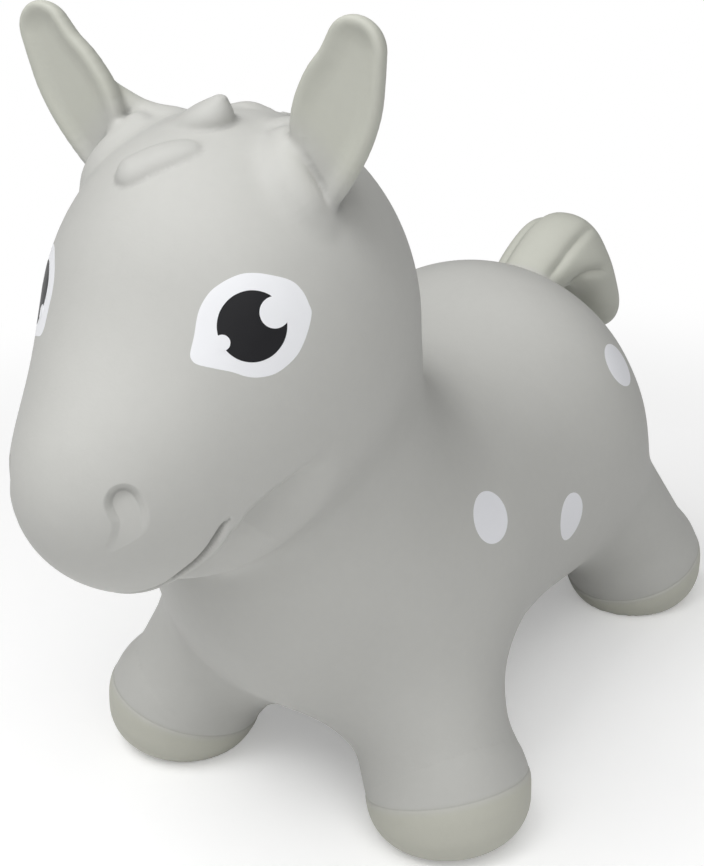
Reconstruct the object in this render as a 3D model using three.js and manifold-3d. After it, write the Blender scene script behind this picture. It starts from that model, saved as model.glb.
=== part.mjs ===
// Bouncy horse hopper: an air-filled vinyl skin that a small child sits on, holds by the ears and bounces.
// Millimetres. +X is the toy's left, -Y its front and +Z up. The origin is on the floor under its middle.

import * as THREE from 'three';
import { mergeVertices } from 'three/addons/utils/BufferGeometryUtils.js';
import loadManifold from 'manifold-3d';

const wasm = await loadManifold();
wasm.setup();

// Skin
const WALL = 2.5;
const SOLE = 5;
const GAP = 0.3;

// Chest and rump, two eggs that run into each other
const CHEST_Y = -12;
const CHEST_Z = 142;
const CHEST_HALF_WIDTH = 113;
const CHEST_HALF_LENGTH = 145;
const CHEST_HALF_HEIGHT = 103;
const RUMP_Y = 136.5;
const RUMP_Z = 157.5;
const RUMP_HALF_WIDTH = 117.5;
const RUMP_HALF_LENGTH = 89;
const RUMP_HALF_HEIGHT = 113.5;
const TORSO_BLEND = 82;

// Neck, a short upright barrel between the chest and the head
const NECK_Y = -90;
const NECK_LOW = 203;
const NECK_HIGH = 264;
const NECK_RADIUS = 75;
const NECK_BLEND = 48;
const NECK_SEAM_Z = 221;
const NECK_SEAM_LEAN = 25;

// Head, a large egg for the skull and a smaller one for the muzzle
const SKULL_Y = -131;
const SKULL_Z = 306.5;
const SKULL_HALF_WIDTH = 93.5;
const SKULL_HALF_LENGTH = 104;
const SKULL_HALF_HEIGHT = 114.5;
const MUZZLE_Y = -193.5;
const MUZZLE_Z = 261.5;
const MUZZLE_HALF_WIDTH = 63;
const MUZZLE_HALF_LENGTH = 87;
const MUZZLE_HALF_HEIGHT = 67;
const HEAD_BLEND = 35;
const JAW_BLEND = 24;

// Legs, splayed cones from a root inside the body to an ankle over the hoof
const FRONT_ROOT_X = 43;
const FRONT_ROOT_Y = -50;
const FRONT_ROOT_Z = 103;
const FRONT_ROOT_RADIUS = 63.5;
const FRONT_ANKLE_RADIUS = 39.5;
const FRONT_FOOT_X = 101;
const FRONT_FOOT_Y = -86;
const FRONT_SEAM_Z = 64;
const HIND_ROOT_X = 48.5;
const HIND_ROOT_Y = 150;
const HIND_ROOT_Z = 145;
const HIND_ROOT_RADIUS = 54.5;
const HIND_ANKLE_RADIUS = 44;
const HIND_FOOT_X = 83;
const HIND_FOOT_Y = 235.5;
const HIND_SEAM_Z = 72;
const LEG_SEAM_LEAN = 25;
const LEG_BLEND = 28;

// Hooves, round-edged drums that lean in along the leg and stand on a flattened sole
const HOOF_RADIUS = 47;
const HOOF_HEIGHT = 55;
const HOOF_EDGE = 24;
const HOOF_TILT = 8;
const HOOF_SINK = 3;
const HOOF_BAND = 31;
const HOOF_BLEND = 20;
const ANKLE_HEIGHT = 43;

// Ears, cupped leaves on a short collar
const EAR_SEAT_OUT = 36;
const EAR_SEAT_FORWARD = 7;
const EAR_LEAN_OUT = 20;
const EAR_LEAN_FORWARD = 4;
const EAR_TURN = 9;
const EAR_LENGTH = 84;
const EAR_SINK = 20;
const EAR_HALF_WIDTH = 28;
const EAR_ROOT_HALF_WIDTH = 20;
const EAR_HALF_THICKNESS = 8;
const EAR_CUP = 9;
const EAR_COLLAR = 13;
const EAR_FULL_FROM = 0.15;
const EAR_FULL_TO = 0.6;
const EAR_SIDE_POWER = 0.8;
const EAR_EDGE_POWER = 0.7;
const EAR_CUP_LEVEL = 0.4;

// Mane tufts along the crown. Pitch is forward of straight up, side is to the toy's left and turn is
// about the skin, all in degrees. Sweep is how far the tip leans along the tuft.
const TUFT_SINK = 6;
const TUFT_SLIM = 0.45;
const FORELOCK_PITCH = 28;
const FORELOCK_SIDE = 0;
const FORELOCK_TURN = 45;
const FORELOCK_SWEEP = 4;
const FORELOCK_LENGTH = 42;
const FORELOCK_WIDTH = 24;
const FORELOCK_HEIGHT = 8;
const CROWN_TUFT_PITCH = 13;
const CROWN_TUFT_SIDE = 3;
const CROWN_TUFT_TURN = 20;
const CROWN_TUFT_SWEEP = -4;
const CROWN_TUFT_LENGTH = 34;
const CROWN_TUFT_WIDTH = 26;
const CROWN_TUFT_HEIGHT = 17;
const POLL_TUFT_PITCH = -8;
const POLL_TUFT_SIDE = 4;
const POLL_TUFT_TURN = 0;
const POLL_TUFT_SWEEP = -6;
const POLL_TUFT_LENGTH = 30;
const POLL_TUFT_WIDTH = 20;
const POLL_TUFT_HEIGHT = 10;
const NAPE_TUFT_PITCH = -34;
const NAPE_TUFT_SIDE = -2;
const NAPE_TUFT_TURN = 0;
const NAPE_TUFT_SWEEP = -8;
const NAPE_TUFT_LENGTH = 32;
const NAPE_TUFT_WIDTH = 20;
const NAPE_TUFT_HEIGHT = 10;

// Tail, a lock that arches off the rump, sweeps to the left and curls down behind it
const TAIL_ROOT_PITCH = 35;
const TAIL_SINK = 17;
const TAIL_ARCH_START = 10;
const TAIL_ARCH_START_RISE = 8;
const TAIL_ARCH_END = 44;
const TAIL_ARCH_END_RISE = 23.5;
const TAIL_BEND = 68;
const TAIL_BEND_DROP = 23;
const TAIL_REACH = 77.5;
const TAIL_DROP = 44.5;
const TAIL_SWEEP = 28.5;
const TAIL_HALF_WIDTH = 24;
const TAIL_HALF_THICKNESS = 17.2;
const TAIL_ROUNDING = 0.5;
const TAIL_TIP_FROM = 0.6;
const TAIL_TIP_SHARE = 0.7;
const TAIL_GROOVE = 1.6;
const TAIL_STRANDS = 6;

// Printed eyes
const FILM = 0.4;
const PRINT_OFF = 0.3;
const EYE_AZIMUTH = 42.5;
const EYE_RISE = 18.5;
const EYE_HALF_WIDTH = 28;
const EYE_HALF_HEIGHT = 23.3;
const EYE_CORNER = 4.5;
const EYE_CORNER_ANGLE = 201;
const EYE_CORNER_SPREAD = 19;
const PUPIL_RADIUS = 16.3;
const GLINT_RADIUS = 7.3;
const GLINT_OUT = 11;
const GLINT_UP = 5.3;
const SMALL_GLINT_RADIUS = 4.1;
const SMALL_GLINT_OUT = -15;
const SMALL_GLINT_UP = -5.6;

// Printed round spots, three on each flank
const SPOT_RADIUS = 15;
const SPOT_OFF = 0.7;
const SHOULDER_SPOT_Y = -40;
const SHOULDER_SPOT_Z = 183;
const BELLY_SPOT_Y = 48;
const BELLY_SPOT_Z = 148;
const HIP_SPOT_Y = 140;
const HIP_SPOT_Z = 216;

// Air valve under the belly
const VALVE_Y = 30;
const VALVE_BORE = 9.6;
const VALVE_COLLAR = 15;
const VALVE_LIP = 22;
const VALVE_LIP_THICKNESS = 2;
const PLUG_HEAD = 18;
const PLUG_HEAD_THICKNESS = 3;
const PLUG_LENGTH = 20;
const PLUG_TAPER = 1;

// Facet counts
const BODY_SIDES = 28;
const BODY_RINGS = 6;
const HEAD_SIDES = 28;
const HEAD_RINGS = 6;
const NECK_SIDES = 24;
const NECK_RINGS = 2;
const LEG_SIDES = 16;
const LEG_RINGS = 4;
const EAR_RINGS = 12;
const TUFT_SIDES = 14;
const TUFT_RINGS = 8;
const TAIL_RINGS = 14;
const ROUND_SIDES = 20;
const EYE_SIDES = 24;
const PRINT_RINGS = 6;
const SPOT_SIDES = 16;
const SPOT_RINGS = 4;
const GLINT_SIDES = 14;

// Lines inside the toy that the skin is blown out from, and how far neighbours run past a seam
const BREAST_CORE = 48;
const NOSE_CORE = 0.75;
const NECK_OVERLAP = 15;
const LEG_OVERLAP = 18;

// Working limits of the outward search and of the cutting blocks, larger than anything they meet
const SEARCH_STEP = 3;
const SEARCH_HALVINGS = 16;
const PRINT_DEPTH = 30;
const BLOCK = 900;
const LEG_BLOCK = 150;
const WELD = 0.001;

const at = (x, y, z) => new THREE.Vector3(x, y, z);
const degrees = (angle) => THREE.MathUtils.degToRad(angle);
const plane = (origin, normal) => ({ origin, normal });

const UP = at(0, 0, 1);
const LEFT = at(1, 0, 0);
const BACK = at(0, 1, 0);
const FLOOR = plane(at(0, 0, 0), UP);

// Planes, each of which divides what lies behind it from what its normal points to

const reversed = ({ origin, normal }) => plane(origin, normal.clone().negate());
const shifted = ({ origin, normal }, by) => plane(origin.clone().addScaledVector(normal, by), normal);

function acrossTheToy({ origin, normal }) {
  const across = at(-1, 1, 1);
  return plane(origin.clone().multiply(across), normal.clone().multiply(across));
}

// Distance fields of the round forms, negative inside

function eggField(p, centre, half) {
  const x = p.x - centre.x;
  const y = p.y - centre.y;
  const z = p.z - centre.z;
  const share = Math.hypot(x / half.x, y / half.y, z / half.z);
  const slope = Math.hypot(x / half.x ** 2, y / half.y ** 2, z / half.z ** 2);
  if (slope === 0) return -Math.min(half.x, half.y, half.z);
  return (share * (share - 1)) / slope;
}

function limbField(p, from, to, fromRadius, toRadius) {
  const axis = to.clone().sub(from);
  const share = THREE.MathUtils.clamp(p.clone().sub(from).dot(axis) / axis.lengthSq(), 0, 1);
  const near = from.clone().addScaledVector(axis, share);
  return p.distanceTo(near) - THREE.MathUtils.lerp(fromRadius, toRadius, share);
}

function drumField(p, foot, axis) {
  const fromFoot = p.clone().sub(foot);
  const along = fromFoot.dot(axis);
  const radial = Math.sqrt(Math.max(fromFoot.lengthSq() - along * along, 0)) - (HOOF_RADIUS - HOOF_EDGE);
  const axial = Math.abs(along - HOOF_HEIGHT / 2) - (HOOF_HEIGHT / 2 - HOOF_EDGE);
  const outside = Math.hypot(Math.max(radial, 0), Math.max(axial, 0));
  return Math.min(Math.max(radial, axial), 0) + outside - HOOF_EDGE;
}

function blend(a, b, width) {
  const share = Math.max(width - Math.abs(a - b), 0) / width;
  return Math.min(a, b) - (share * share * width) / 4;
}

// A left leg's root, ankle, foot and hoof axis, and the plane of its seam with the body

function legFrame(rootX, rootY, rootZ, rootRadius, ankleRadius, footX, footY, seamZ) {
  const root = at(rootX, rootY, rootZ);
  const foot = at(footX, footY, -HOOF_SINK);
  const outward = at(footX - rootX, footY - rootY, 0).normalize();
  const tilt = degrees(HOOF_TILT);
  const axis = outward.clone().multiplyScalar(-Math.sin(tilt)).addScaledVector(UP, Math.cos(tilt));
  const ankle = foot.clone().addScaledVector(axis, ANKLE_HEIGHT);
  const seamShare = (rootZ - seamZ) / (rootZ - ankle.z);
  const lean = degrees(LEG_SEAM_LEAN);
  const downOut = outward.clone().multiplyScalar(Math.sin(lean)).addScaledVector(UP, -Math.cos(lean));
  const seam = plane(root.clone().lerp(ankle, seamShare), downOut);
  const band = plane(foot.clone().addScaledVector(axis, HOOF_BAND), axis);
  return { root, ankle, foot, axis, seam, band, rootRadius, ankleRadius };
}

const FRONT_LEG = legFrame(
  FRONT_ROOT_X, FRONT_ROOT_Y, FRONT_ROOT_Z, FRONT_ROOT_RADIUS, FRONT_ANKLE_RADIUS,
  FRONT_FOOT_X, FRONT_FOOT_Y, FRONT_SEAM_Z,
);
const HIND_LEG = legFrame(
  HIND_ROOT_X, HIND_ROOT_Y, HIND_ROOT_Z, HIND_ROOT_RADIUS, HIND_ANKLE_RADIUS,
  HIND_FOOT_X, HIND_FOOT_Y, HIND_SEAM_Z,
);

const CHEST = at(0, CHEST_Y, CHEST_Z);
const CHEST_HALF = at(CHEST_HALF_WIDTH, CHEST_HALF_LENGTH, CHEST_HALF_HEIGHT);
const RUMP = at(0, RUMP_Y, RUMP_Z);
const RUMP_HALF = at(RUMP_HALF_WIDTH, RUMP_HALF_LENGTH, RUMP_HALF_HEIGHT);
const NECK_FOOT = at(0, NECK_Y, NECK_LOW);
const NECK_TOP = at(0, NECK_Y, NECK_HIGH);
const SKULL = at(0, SKULL_Y, SKULL_Z);
const SKULL_HALF = at(SKULL_HALF_WIDTH, SKULL_HALF_LENGTH, SKULL_HALF_HEIGHT);
const MUZZLE = at(0, MUZZLE_Y, MUZZLE_Z);
const MUZZLE_HALF = at(MUZZLE_HALF_WIDTH, MUZZLE_HALF_LENGTH, MUZZLE_HALF_HEIGHT);

function legField(p, leg) {
  const cone = limbField(p, leg.root, leg.ankle, leg.rootRadius, leg.ankleRadius);
  return blend(cone, drumField(p, leg.foot, leg.axis), HOOF_BLEND);
}

// The whole skin as one smooth form, the same on both sides
function skinField(p) {
  const leftSide = at(Math.abs(p.x), p.y, p.z);
  const torso = blend(eggField(p, CHEST, CHEST_HALF), eggField(p, RUMP, RUMP_HALF), TORSO_BLEND);
  const legs = Math.min(legField(leftSide, FRONT_LEG), legField(leftSide, HIND_LEG));
  const neck = limbField(p, NECK_FOOT, NECK_TOP, NECK_RADIUS, NECK_RADIUS);
  const head = blend(eggField(p, SKULL, SKULL_HALF), eggField(p, MUZZLE, MUZZLE_HALF), HEAD_BLEND);
  return blend(blend(blend(torso, legs, LEG_BLEND), neck, NECK_BLEND), head, JAW_BLEND);
}

// The first place on a ray from inside the skin where it is as far outside as the level says,
// or where it crosses one of the bounds
function skinPoint(start, direction, level = 0, bounds = []) {
  const place = (distance) => start.clone().addScaledVector(direction, distance);
  const crossed = (p) => bounds.some(({ origin, normal }) => p.clone().sub(origin).dot(normal) > 0);
  const isInside = (p) => skinField(p) < level && !crossed(p);
  let inside = 0;
  let outside = SEARCH_STEP;
  while (isInside(place(outside))) {
    inside = outside;
    outside += SEARCH_STEP;
  }
  for (let i = 0; i < SEARCH_HALVINGS; i += 1) {
    const middle = (inside + outside) / 2;
    if (isInside(place(middle))) inside = middle;
    else outside = middle;
  }
  return place(inside);
}

function skinNormal(p) {
  const slope = (axis) => skinField(p.clone().add(axis)) - skinField(p.clone().sub(axis));
  return at(slope(LEFT), slope(BACK), slope(UP)).normalize();
}

// Geometry helpers

function bare(geometry) {
  geometry.deleteAttribute('normal');
  geometry.deleteAttribute('uv');
  return mergeVertices(geometry, WELD);
}

function moveVertices(geometry, move) {
  const shape = bare(geometry);
  const position = shape.attributes.position;
  for (let i = 0; i < position.count; i += 1) {
    const moved = move(new THREE.Vector3().fromBufferAttribute(position, i));
    position.setXYZ(i, moved.x, moved.y, moved.z);
  }
  return shape;
}

function mirrored(geometry) {
  const copy = geometry.clone();
  copy.scale(-1, 1, 1);
  const index = copy.index;
  for (let i = 0; i < index.count; i += 3) {
    const second = index.getX(i + 1);
    index.setX(i + 1, index.getX(i + 2));
    index.setX(i + 2, second);
  }
  return copy;
}

function solid(geometry) {
  const shape = bare(geometry.clone());
  const corners = shape.index.array;
  const triangles = [];
  for (let i = 0; i < corners.length; i += 3) {
    const [a, b, c] = corners.slice(i, i + 3);
    if (a !== b && b !== c && c !== a) triangles.push(a, b, c);
  }
  return new wasm.Manifold(new wasm.Mesh({
    numProp: 3,
    vertProperties: new Float32Array(shape.attributes.position.array),
    triVerts: new Uint32Array(triangles),
  }));
}

function geometryOf(manifold) {
  const mesh = manifold.getMesh();
  const geometry = new THREE.BufferGeometry();
  geometry.setAttribute('position', new THREE.BufferAttribute(new Float32Array(mesh.vertProperties), 3));
  geometry.setIndex(new THREE.BufferAttribute(new Uint32Array(mesh.triVerts), 1));
  return geometry;
}

// A block whose near face lies off a plane by a distance, on the side that the plane's normal points to
function block({ origin, normal }, off = 0, size = BLOCK) {
  const geometry = new THREE.BoxGeometry(size, size, size);
  geometry.translate(0, 0, size / 2 + off);
  geometry.applyQuaternion(new THREE.Quaternion().setFromUnitVectors(UP, normal));
  geometry.translate(origin.x, origin.y, origin.z);
  return solid(geometry);
}

// A capsule about a line inside the toy, blown out until it meets the skin at a level or a bound
function blown(from, to, sides, rings, level, bounds) {
  const length = from.distanceTo(to);
  const turn = new THREE.Quaternion().setFromUnitVectors(BACK, to.clone().sub(from).normalize());
  const middle = from.clone().lerp(to, 0.5);
  const capsule = new THREE.CapsuleGeometry(1, length, rings, sides, rings);
  return moveVertices(capsule, (p) => {
    const core = at(0, THREE.MathUtils.clamp(p.y, -length / 2, length / 2), 0);
    const direction = p.sub(core).normalize().applyQuaternion(turn);
    return skinPoint(core.applyQuaternion(turn).add(middle), direction, level, bounds);
  });
}

// A lathe about an upright axis, from radius and height pairs
function turned(profile, x, y) {
  const geometry = new THREE.LatheGeometry(profile.map(([r, z]) => new THREE.Vector2(r, z)), ROUND_SIDES);
  geometry.rotateX(Math.PI / 2);
  geometry.translate(x, y, 0);
  return solid(geometry);
}

// Materials

const finish = (colour, roughness) => ({ color: colour, roughness, metalness: 0 });
const VINYL = finish(0xbfbfba, 0.55);
const VINYL_EAR = finish(0xc2c2b6, 0.55);
const VINYL_HOOF = finish(0xb2b3a6, 0.55);
const WHITE_INK = finish(0xe6e6e8, 0.5);
const BLACK_INK = finish(0x2e2d30, 0.45);
const VALVE_VINYL = finish(0xd5d4cc, 0.5);

const toy = new THREE.Group();

function addPiece(name, geometry, look) {
  geometry.computeVertexNormals();
  const mesh = new THREE.Mesh(geometry, new THREE.MeshStandardMaterial(look));
  mesh.name = name;
  toy.add(mesh);
}

function addPair(names, piece, look) {
  const geometry = geometryOf(piece);
  addPiece(names('left'), geometry, look);
  addPiece(names('right'), mirrored(geometry), look);
}

// The skin region by region, each blown from its own line so that neighbours share their edges at a seam

const neckLean = degrees(NECK_SEAM_LEAN);
const NECK_SEAM = plane(at(0, NECK_Y, NECK_SEAM_Z), at(0, -Math.sin(neckLean), Math.cos(neckLean)));
const LEG_SEAMS = [FRONT_LEG, HIND_LEG].flatMap(({ seam }) => [seam, acrossTheToy(seam)]);

function torsoSkin(level) {
  const breast = at(0, CHEST_Y - BREAST_CORE, CHEST_Z);
  return solid(blown(breast, RUMP, BODY_SIDES, BODY_RINGS, level, [NECK_SEAM, ...LEG_SEAMS]));
}

function skullSkin(level) {
  const nose = SKULL.clone().lerp(MUZZLE, NOSE_CORE);
  return solid(blown(nose, SKULL, HEAD_SIDES, HEAD_RINGS, level, [reversed(NECK_SEAM)]));
}

function neckSkin(level) {
  const above = shifted(NECK_SEAM, NECK_OVERLAP);
  const below = shifted(NECK_SEAM, -NECK_OVERLAP);
  const low = NECK_SEAM.origin.clone().lerp(below.origin, 0.5);
  const high = NECK_SEAM.origin.clone().lerp(above.origin, 0.5);
  return solid(blown(low, high, NECK_SIDES, NECK_RINGS, level, [above, reversed(below)]));
}

function legSkin(leg, level) {
  const bottom = leg.foot.clone().addScaledVector(leg.axis, HOOF_EDGE);
  const top = shifted(leg.seam, -LEG_OVERLAP);
  return blown(leg.seam.origin, bottom, LEG_SIDES, LEG_RINGS, level, [reversed(top)]);
}

// Torso and head shells, open to each other at the neck and to the legs at the leg seams

function bodyForm(level) {
  const legs = [FRONT_LEG, HIND_LEG].map((leg) => legSkin(leg, level));
  const stubs = legs.flatMap((leg) => [solid(leg), solid(mirrored(leg))]);
  return stubs.reduce((form, stub) => form.add(stub), torsoSkin(level).add(neckSkin(level)));
}

function bodyShell() {
  const shell = bodyForm(0).subtract(bodyForm(-WALL)).subtract(block(NECK_SEAM, -GAP / 2));
  const open = LEG_SEAMS.reduce((rest, seam) => rest.subtract(block(seam, -GAP / 2, LEG_BLOCK)), shell);
  return open.subtract(valveHole());
}

const headForm = (level) => skullSkin(level).add(neckSkin(level));

function headShell() {
  return headForm(0).subtract(headForm(-WALL)).intersect(block(NECK_SEAM, GAP / 2));
}

// Legs: a sleeve between the body seam and the hoof band, and a hoof cup with a thick flat sole

function legPieces(leg) {
  const air = solid(legSkin(leg, -WALL));
  const limb = solid(legSkin(leg, 0)).intersect(block(leg.seam, GAP / 2));
  const sleeve = limb.subtract(air).intersect(block(leg.band, GAP / 2));
  const cup = limb.subtract(block(leg.band, -GAP / 2)).intersect(block(FLOOR));
  return { sleeve, hoof: cup.subtract(air.intersect(block(FLOOR, SOLE))) };
}

// Ears: each leaf stands on a collar that is cut to the head, and swings where it leaves the collar

function earFrame() {
  const out = degrees(EAR_SEAT_OUT);
  const forward = degrees(EAR_SEAT_FORWARD);
  const direction = at(Math.sin(out), -Math.sin(forward) * Math.cos(out), Math.cos(forward) * Math.cos(out));
  const seat = skinPoint(SKULL, direction.normalize());
  const leanOut = degrees(EAR_LEAN_OUT);
  const rise = at(Math.tan(leanOut), -Math.tan(degrees(EAR_LEAN_FORWARD)), 1).normalize();
  const turn = degrees(EAR_TURN);
  const facing = at(Math.sin(turn), -Math.cos(turn), 0);
  const across = new THREE.Vector3().crossVectors(rise, facing).normalize();
  const face = new THREE.Vector3().crossVectors(across, rise);
  return { seat, rise, across, face, root: plane(seat, skinNormal(seat)) };
}

const EAR = earFrame();

function earLeaf() {
  const ball = new THREE.SphereGeometry(1, ROUND_SIDES, EAR_RINGS);
  return solid(moveVertices(ball, (p) => {
    const share = (p.y + 1) / 2;
    const swell = Math.hypot(p.x, p.z);
    const angle = Math.atan2(p.z, p.x);
    const fullness = THREE.MathUtils.smoothstep(share, EAR_FULL_FROM, EAR_FULL_TO);
    const halfWidth = THREE.MathUtils.lerp(EAR_ROOT_HALF_WIDTH, EAR_HALF_WIDTH, fullness);
    const sideways = halfWidth * swell ** EAR_SIDE_POWER * Math.cos(angle);
    const thickness = EAR_HALF_THICKNESS * swell ** EAR_EDGE_POWER * Math.sin(angle);
    const bend = (sideways / EAR_HALF_WIDTH) ** 2 - EAR_CUP_LEVEL;
    return EAR.seat.clone()
      .addScaledVector(EAR.rise, share * (EAR_LENGTH + EAR_SINK) - EAR_SINK)
      .addScaledVector(EAR.across, sideways)
      .addScaledVector(EAR.face, thickness + EAR_CUP * bend * Math.sin(Math.PI * share));
  }));
}

function earPieces(headRoom) {
  const leaf = earLeaf();
  const ear = leaf.intersect(block(EAR.root, EAR_COLLAR + GAP / 2));
  const collar = leaf.subtract(block(EAR.root, EAR_COLLAR - GAP / 2)).subtract(headRoom);
  return { ear, collar };
}

// Mane tufts: half-buried balls whose tops lean the way the hair lies

function tuft({ pitch, side, turn, length, width, height, sweep }, headRoom) {
  const forward = degrees(pitch);
  const sideways = degrees(side);
  const direction = at(Math.sin(sideways), -Math.sin(forward), Math.cos(forward)).normalize();
  const seat = skinPoint(SKULL, direction);
  const normal = skinNormal(seat);
  const across = new THREE.Vector3().crossVectors(normal, BACK).normalize();
  const along = new THREE.Vector3().crossVectors(normal, across);
  across.applyAxisAngle(normal, degrees(turn));
  along.applyAxisAngle(normal, degrees(turn));
  const ball = new THREE.SphereGeometry(1, TUFT_SIDES, TUFT_RINGS);
  const lock = solid(moveVertices(ball, (p) => {
    const peak = Math.max(p.y, 0) ** 2;
    const slim = 1 - TUFT_SLIM * peak;
    return seat.clone()
      .addScaledVector(along, (length / 2) * p.x * slim + sweep * peak)
      .addScaledVector(across, (width / 2) * p.z * slim)
      .addScaledVector(normal, p.y > 0 ? height * p.y : TUFT_SINK * p.y);
  }));
  return lock.subtract(headRoom);
}

// Tail: a ball drawn along a curve over the rump, with grooves between its strands

function tailPiece(rumpRoom) {
  const pitch = degrees(TAIL_ROOT_PITCH);
  const root = skinPoint(RUMP, at(0, Math.sin(pitch), Math.cos(pitch)));
  const fromRoot = (sweep, back, up) => root.clone().add(at(sweep * TAIL_SWEEP, back, up));
  const path = new THREE.CatmullRomCurve3([
    fromRoot(0, -TAIL_SINK / 2, -TAIL_SINK),
    fromRoot(0.15, TAIL_ARCH_START, TAIL_ARCH_START_RISE),
    fromRoot(0.5, TAIL_ARCH_END, TAIL_ARCH_END_RISE),
    fromRoot(0.9, TAIL_BEND, -TAIL_BEND_DROP),
    fromRoot(1, TAIL_REACH, -TAIL_DROP),
  ]);
  const ball = new THREE.SphereGeometry(1, ROUND_SIDES, TAIL_RINGS);
  const lock = solid(moveVertices(ball, (p) => {
    const share = (p.y + 1) / 2;
    const swell = Math.hypot(p.x, p.z);
    const angle = Math.atan2(p.z, p.x);
    const towardTip = THREE.MathUtils.smoothstep(share, TAIL_TIP_FROM, 1);
    const taper = THREE.MathUtils.lerp(1, TAIL_TIP_SHARE, towardTip);
    const fullness = swell ** TAIL_ROUNDING * taper;
    const groove = TAIL_GROOVE * Math.cos(TAIL_STRANDS * angle) * swell;
    const outward = new THREE.Vector3().crossVectors(LEFT, path.getTangent(share)).normalize();
    return path.getPoint(share)
      .addScaledVector(LEFT, (TAIL_HALF_WIDTH * fullness + groove) * Math.cos(angle))
      .addScaledVector(outward, (TAIL_HALF_THICKNESS * fullness + groove) * Math.sin(angle));
  }));
  return lock.subtract(rumpRoom);
}

// Prints: thin films laid square on to the skin, whose edge is given by a radius for each angle

function printFrame(start, direction) {
  const seat = skinPoint(start, direction);
  const normal = skinNormal(seat);
  const along = new THREE.Vector3().crossVectors(UP, normal).normalize();
  const upward = new THREE.Vector3().crossVectors(normal, along);
  return { seat, normal, along, upward };
}

function film(frame, edge, level, sides, rings) {
  const ball = new THREE.SphereGeometry(1, sides, rings);
  return solid(moveVertices(ball, (p) => {
    const spread = Math.min(Math.hypot(p.x, p.z), 1);
    const angle = Math.atan2(-p.z, p.x);
    const radius = spread * edge(angle);
    const start = frame.seat.clone()
      .addScaledVector(frame.along, radius * Math.cos(angle))
      .addScaledVector(frame.upward, radius * Math.sin(angle))
      .addScaledVector(frame.normal, -PRINT_DEPTH);
    const layer = THREE.MathUtils.smoothstep(p.y, -WELD, WELD);
    return skinPoint(start, frame.normal, level + FILM * layer);
  }));
}

function eyeFrame() {
  const azimuth = degrees(EYE_AZIMUTH);
  const rise = degrees(EYE_RISE);
  const level = at(Math.sin(azimuth), -Math.cos(azimuth), 0).multiplyScalar(Math.cos(rise));
  return printFrame(SKULL, level.addScaledVector(UP, Math.sin(rise)));
}

const EYE = eyeFrame();

function eyeEdge(angle) {
  const oval = 1 / Math.hypot(Math.cos(angle) / EYE_HALF_WIDTH, Math.sin(angle) / EYE_HALF_HEIGHT);
  const past = angle - degrees(EYE_CORNER_ANGLE);
  const fromCorner = Math.atan2(Math.sin(past), Math.cos(past));
  return oval + EYE_CORNER * Math.exp(-((fromCorner / degrees(EYE_CORNER_SPREAD)) ** 2));
}

// A round hole through a film, square to it
function glint(out, up, radius) {
  const rod = new THREE.CylinderGeometry(radius, radius, 2 * PRINT_DEPTH, GLINT_SIDES);
  rod.applyQuaternion(new THREE.Quaternion().setFromUnitVectors(BACK, EYE.normal));
  const centre = EYE.seat.clone().addScaledVector(EYE.along, out).addScaledVector(EYE.upward, up);
  rod.translate(centre.x, centre.y, centre.z);
  return solid(rod);
}

// The glints sit on the same side of both eyes as seen, so one pupil is handed
function pupil(hand) {
  return film(EYE, () => PUPIL_RADIUS, PRINT_OFF + FILM + GAP, ROUND_SIDES, PRINT_RINGS)
    .subtract(glint(hand * GLINT_OUT, GLINT_UP, GLINT_RADIUS))
    .subtract(glint(hand * SMALL_GLINT_OUT, SMALL_GLINT_UP, SMALL_GLINT_RADIUS));
}

function spot(y, z) {
  const frame = printFrame(at(0, y, z), LEFT);
  return film(frame, () => SPOT_RADIUS, SPOT_OFF, SPOT_SIDES, SPOT_RINGS);
}

// Air valve: a grommet clamped in a hole of the belly and a push-in plug

const bellyHeight = (reach, level) => skinPoint(at(reach, VALVE_Y, CHEST_Z), at(0, 0, -1), level).z;
const BELLY = bellyHeight(0, 0);
const LIP_TOP = BELLY - GAP;
const CLAMP_BOTTOM = bellyHeight(VALVE_LIP / 2, -WALL) + WALL / 2;

// The hole for the grommet, with a flat landing on each side for its lip and its clamping ring
function valveHole() {
  const hole = VALVE_COLLAR / 2 + GAP;
  const landing = VALVE_LIP / 2 + GAP;
  return turned([
    [0, BELLY - PRINT_DEPTH],
    [landing, BELLY - PRINT_DEPTH],
    [landing, LIP_TOP + GAP],
    [hole, LIP_TOP + GAP],
    [hole, CLAMP_BOTTOM - GAP],
    [landing, CLAMP_BOTTOM - GAP],
    [landing, BELLY + PRINT_DEPTH],
    [0, BELLY + PRINT_DEPTH],
  ], 0, VALVE_Y);
}

function valveSeat() {
  const bore = VALVE_BORE / 2;
  const collar = VALVE_COLLAR / 2;
  const lip = VALVE_LIP / 2;
  return turned([
    [bore, LIP_TOP - VALVE_LIP_THICKNESS],
    [lip, LIP_TOP - VALVE_LIP_THICKNESS],
    [lip, LIP_TOP],
    [collar, LIP_TOP],
    [collar, CLAMP_BOTTOM],
    [lip, CLAMP_BOTTOM],
    [lip, CLAMP_BOTTOM + VALVE_LIP_THICKNESS],
    [bore, CLAMP_BOTTOM + VALVE_LIP_THICKNESS],
    [bore, LIP_TOP - VALVE_LIP_THICKNESS],
  ], 0, VALVE_Y);
}

function valvePlug() {
  const head = PLUG_HEAD / 2;
  const shank = VALVE_BORE / 2 - GAP;
  const top = LIP_TOP - VALVE_LIP_THICKNESS - GAP;
  const bottom = top - PLUG_HEAD_THICKNESS;
  return turned([
    [0, bottom],
    [head - PLUG_TAPER, bottom],
    [head, bottom + PLUG_TAPER],
    [head, top],
    [shank, top],
    [shank, top + PLUG_LENGTH - PLUG_TAPER],
    [shank - PLUG_TAPER, top + PLUG_LENGTH],
    [0, top + PLUG_LENGTH],
  ], 0, VALVE_Y);
}

// Assembly

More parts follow.
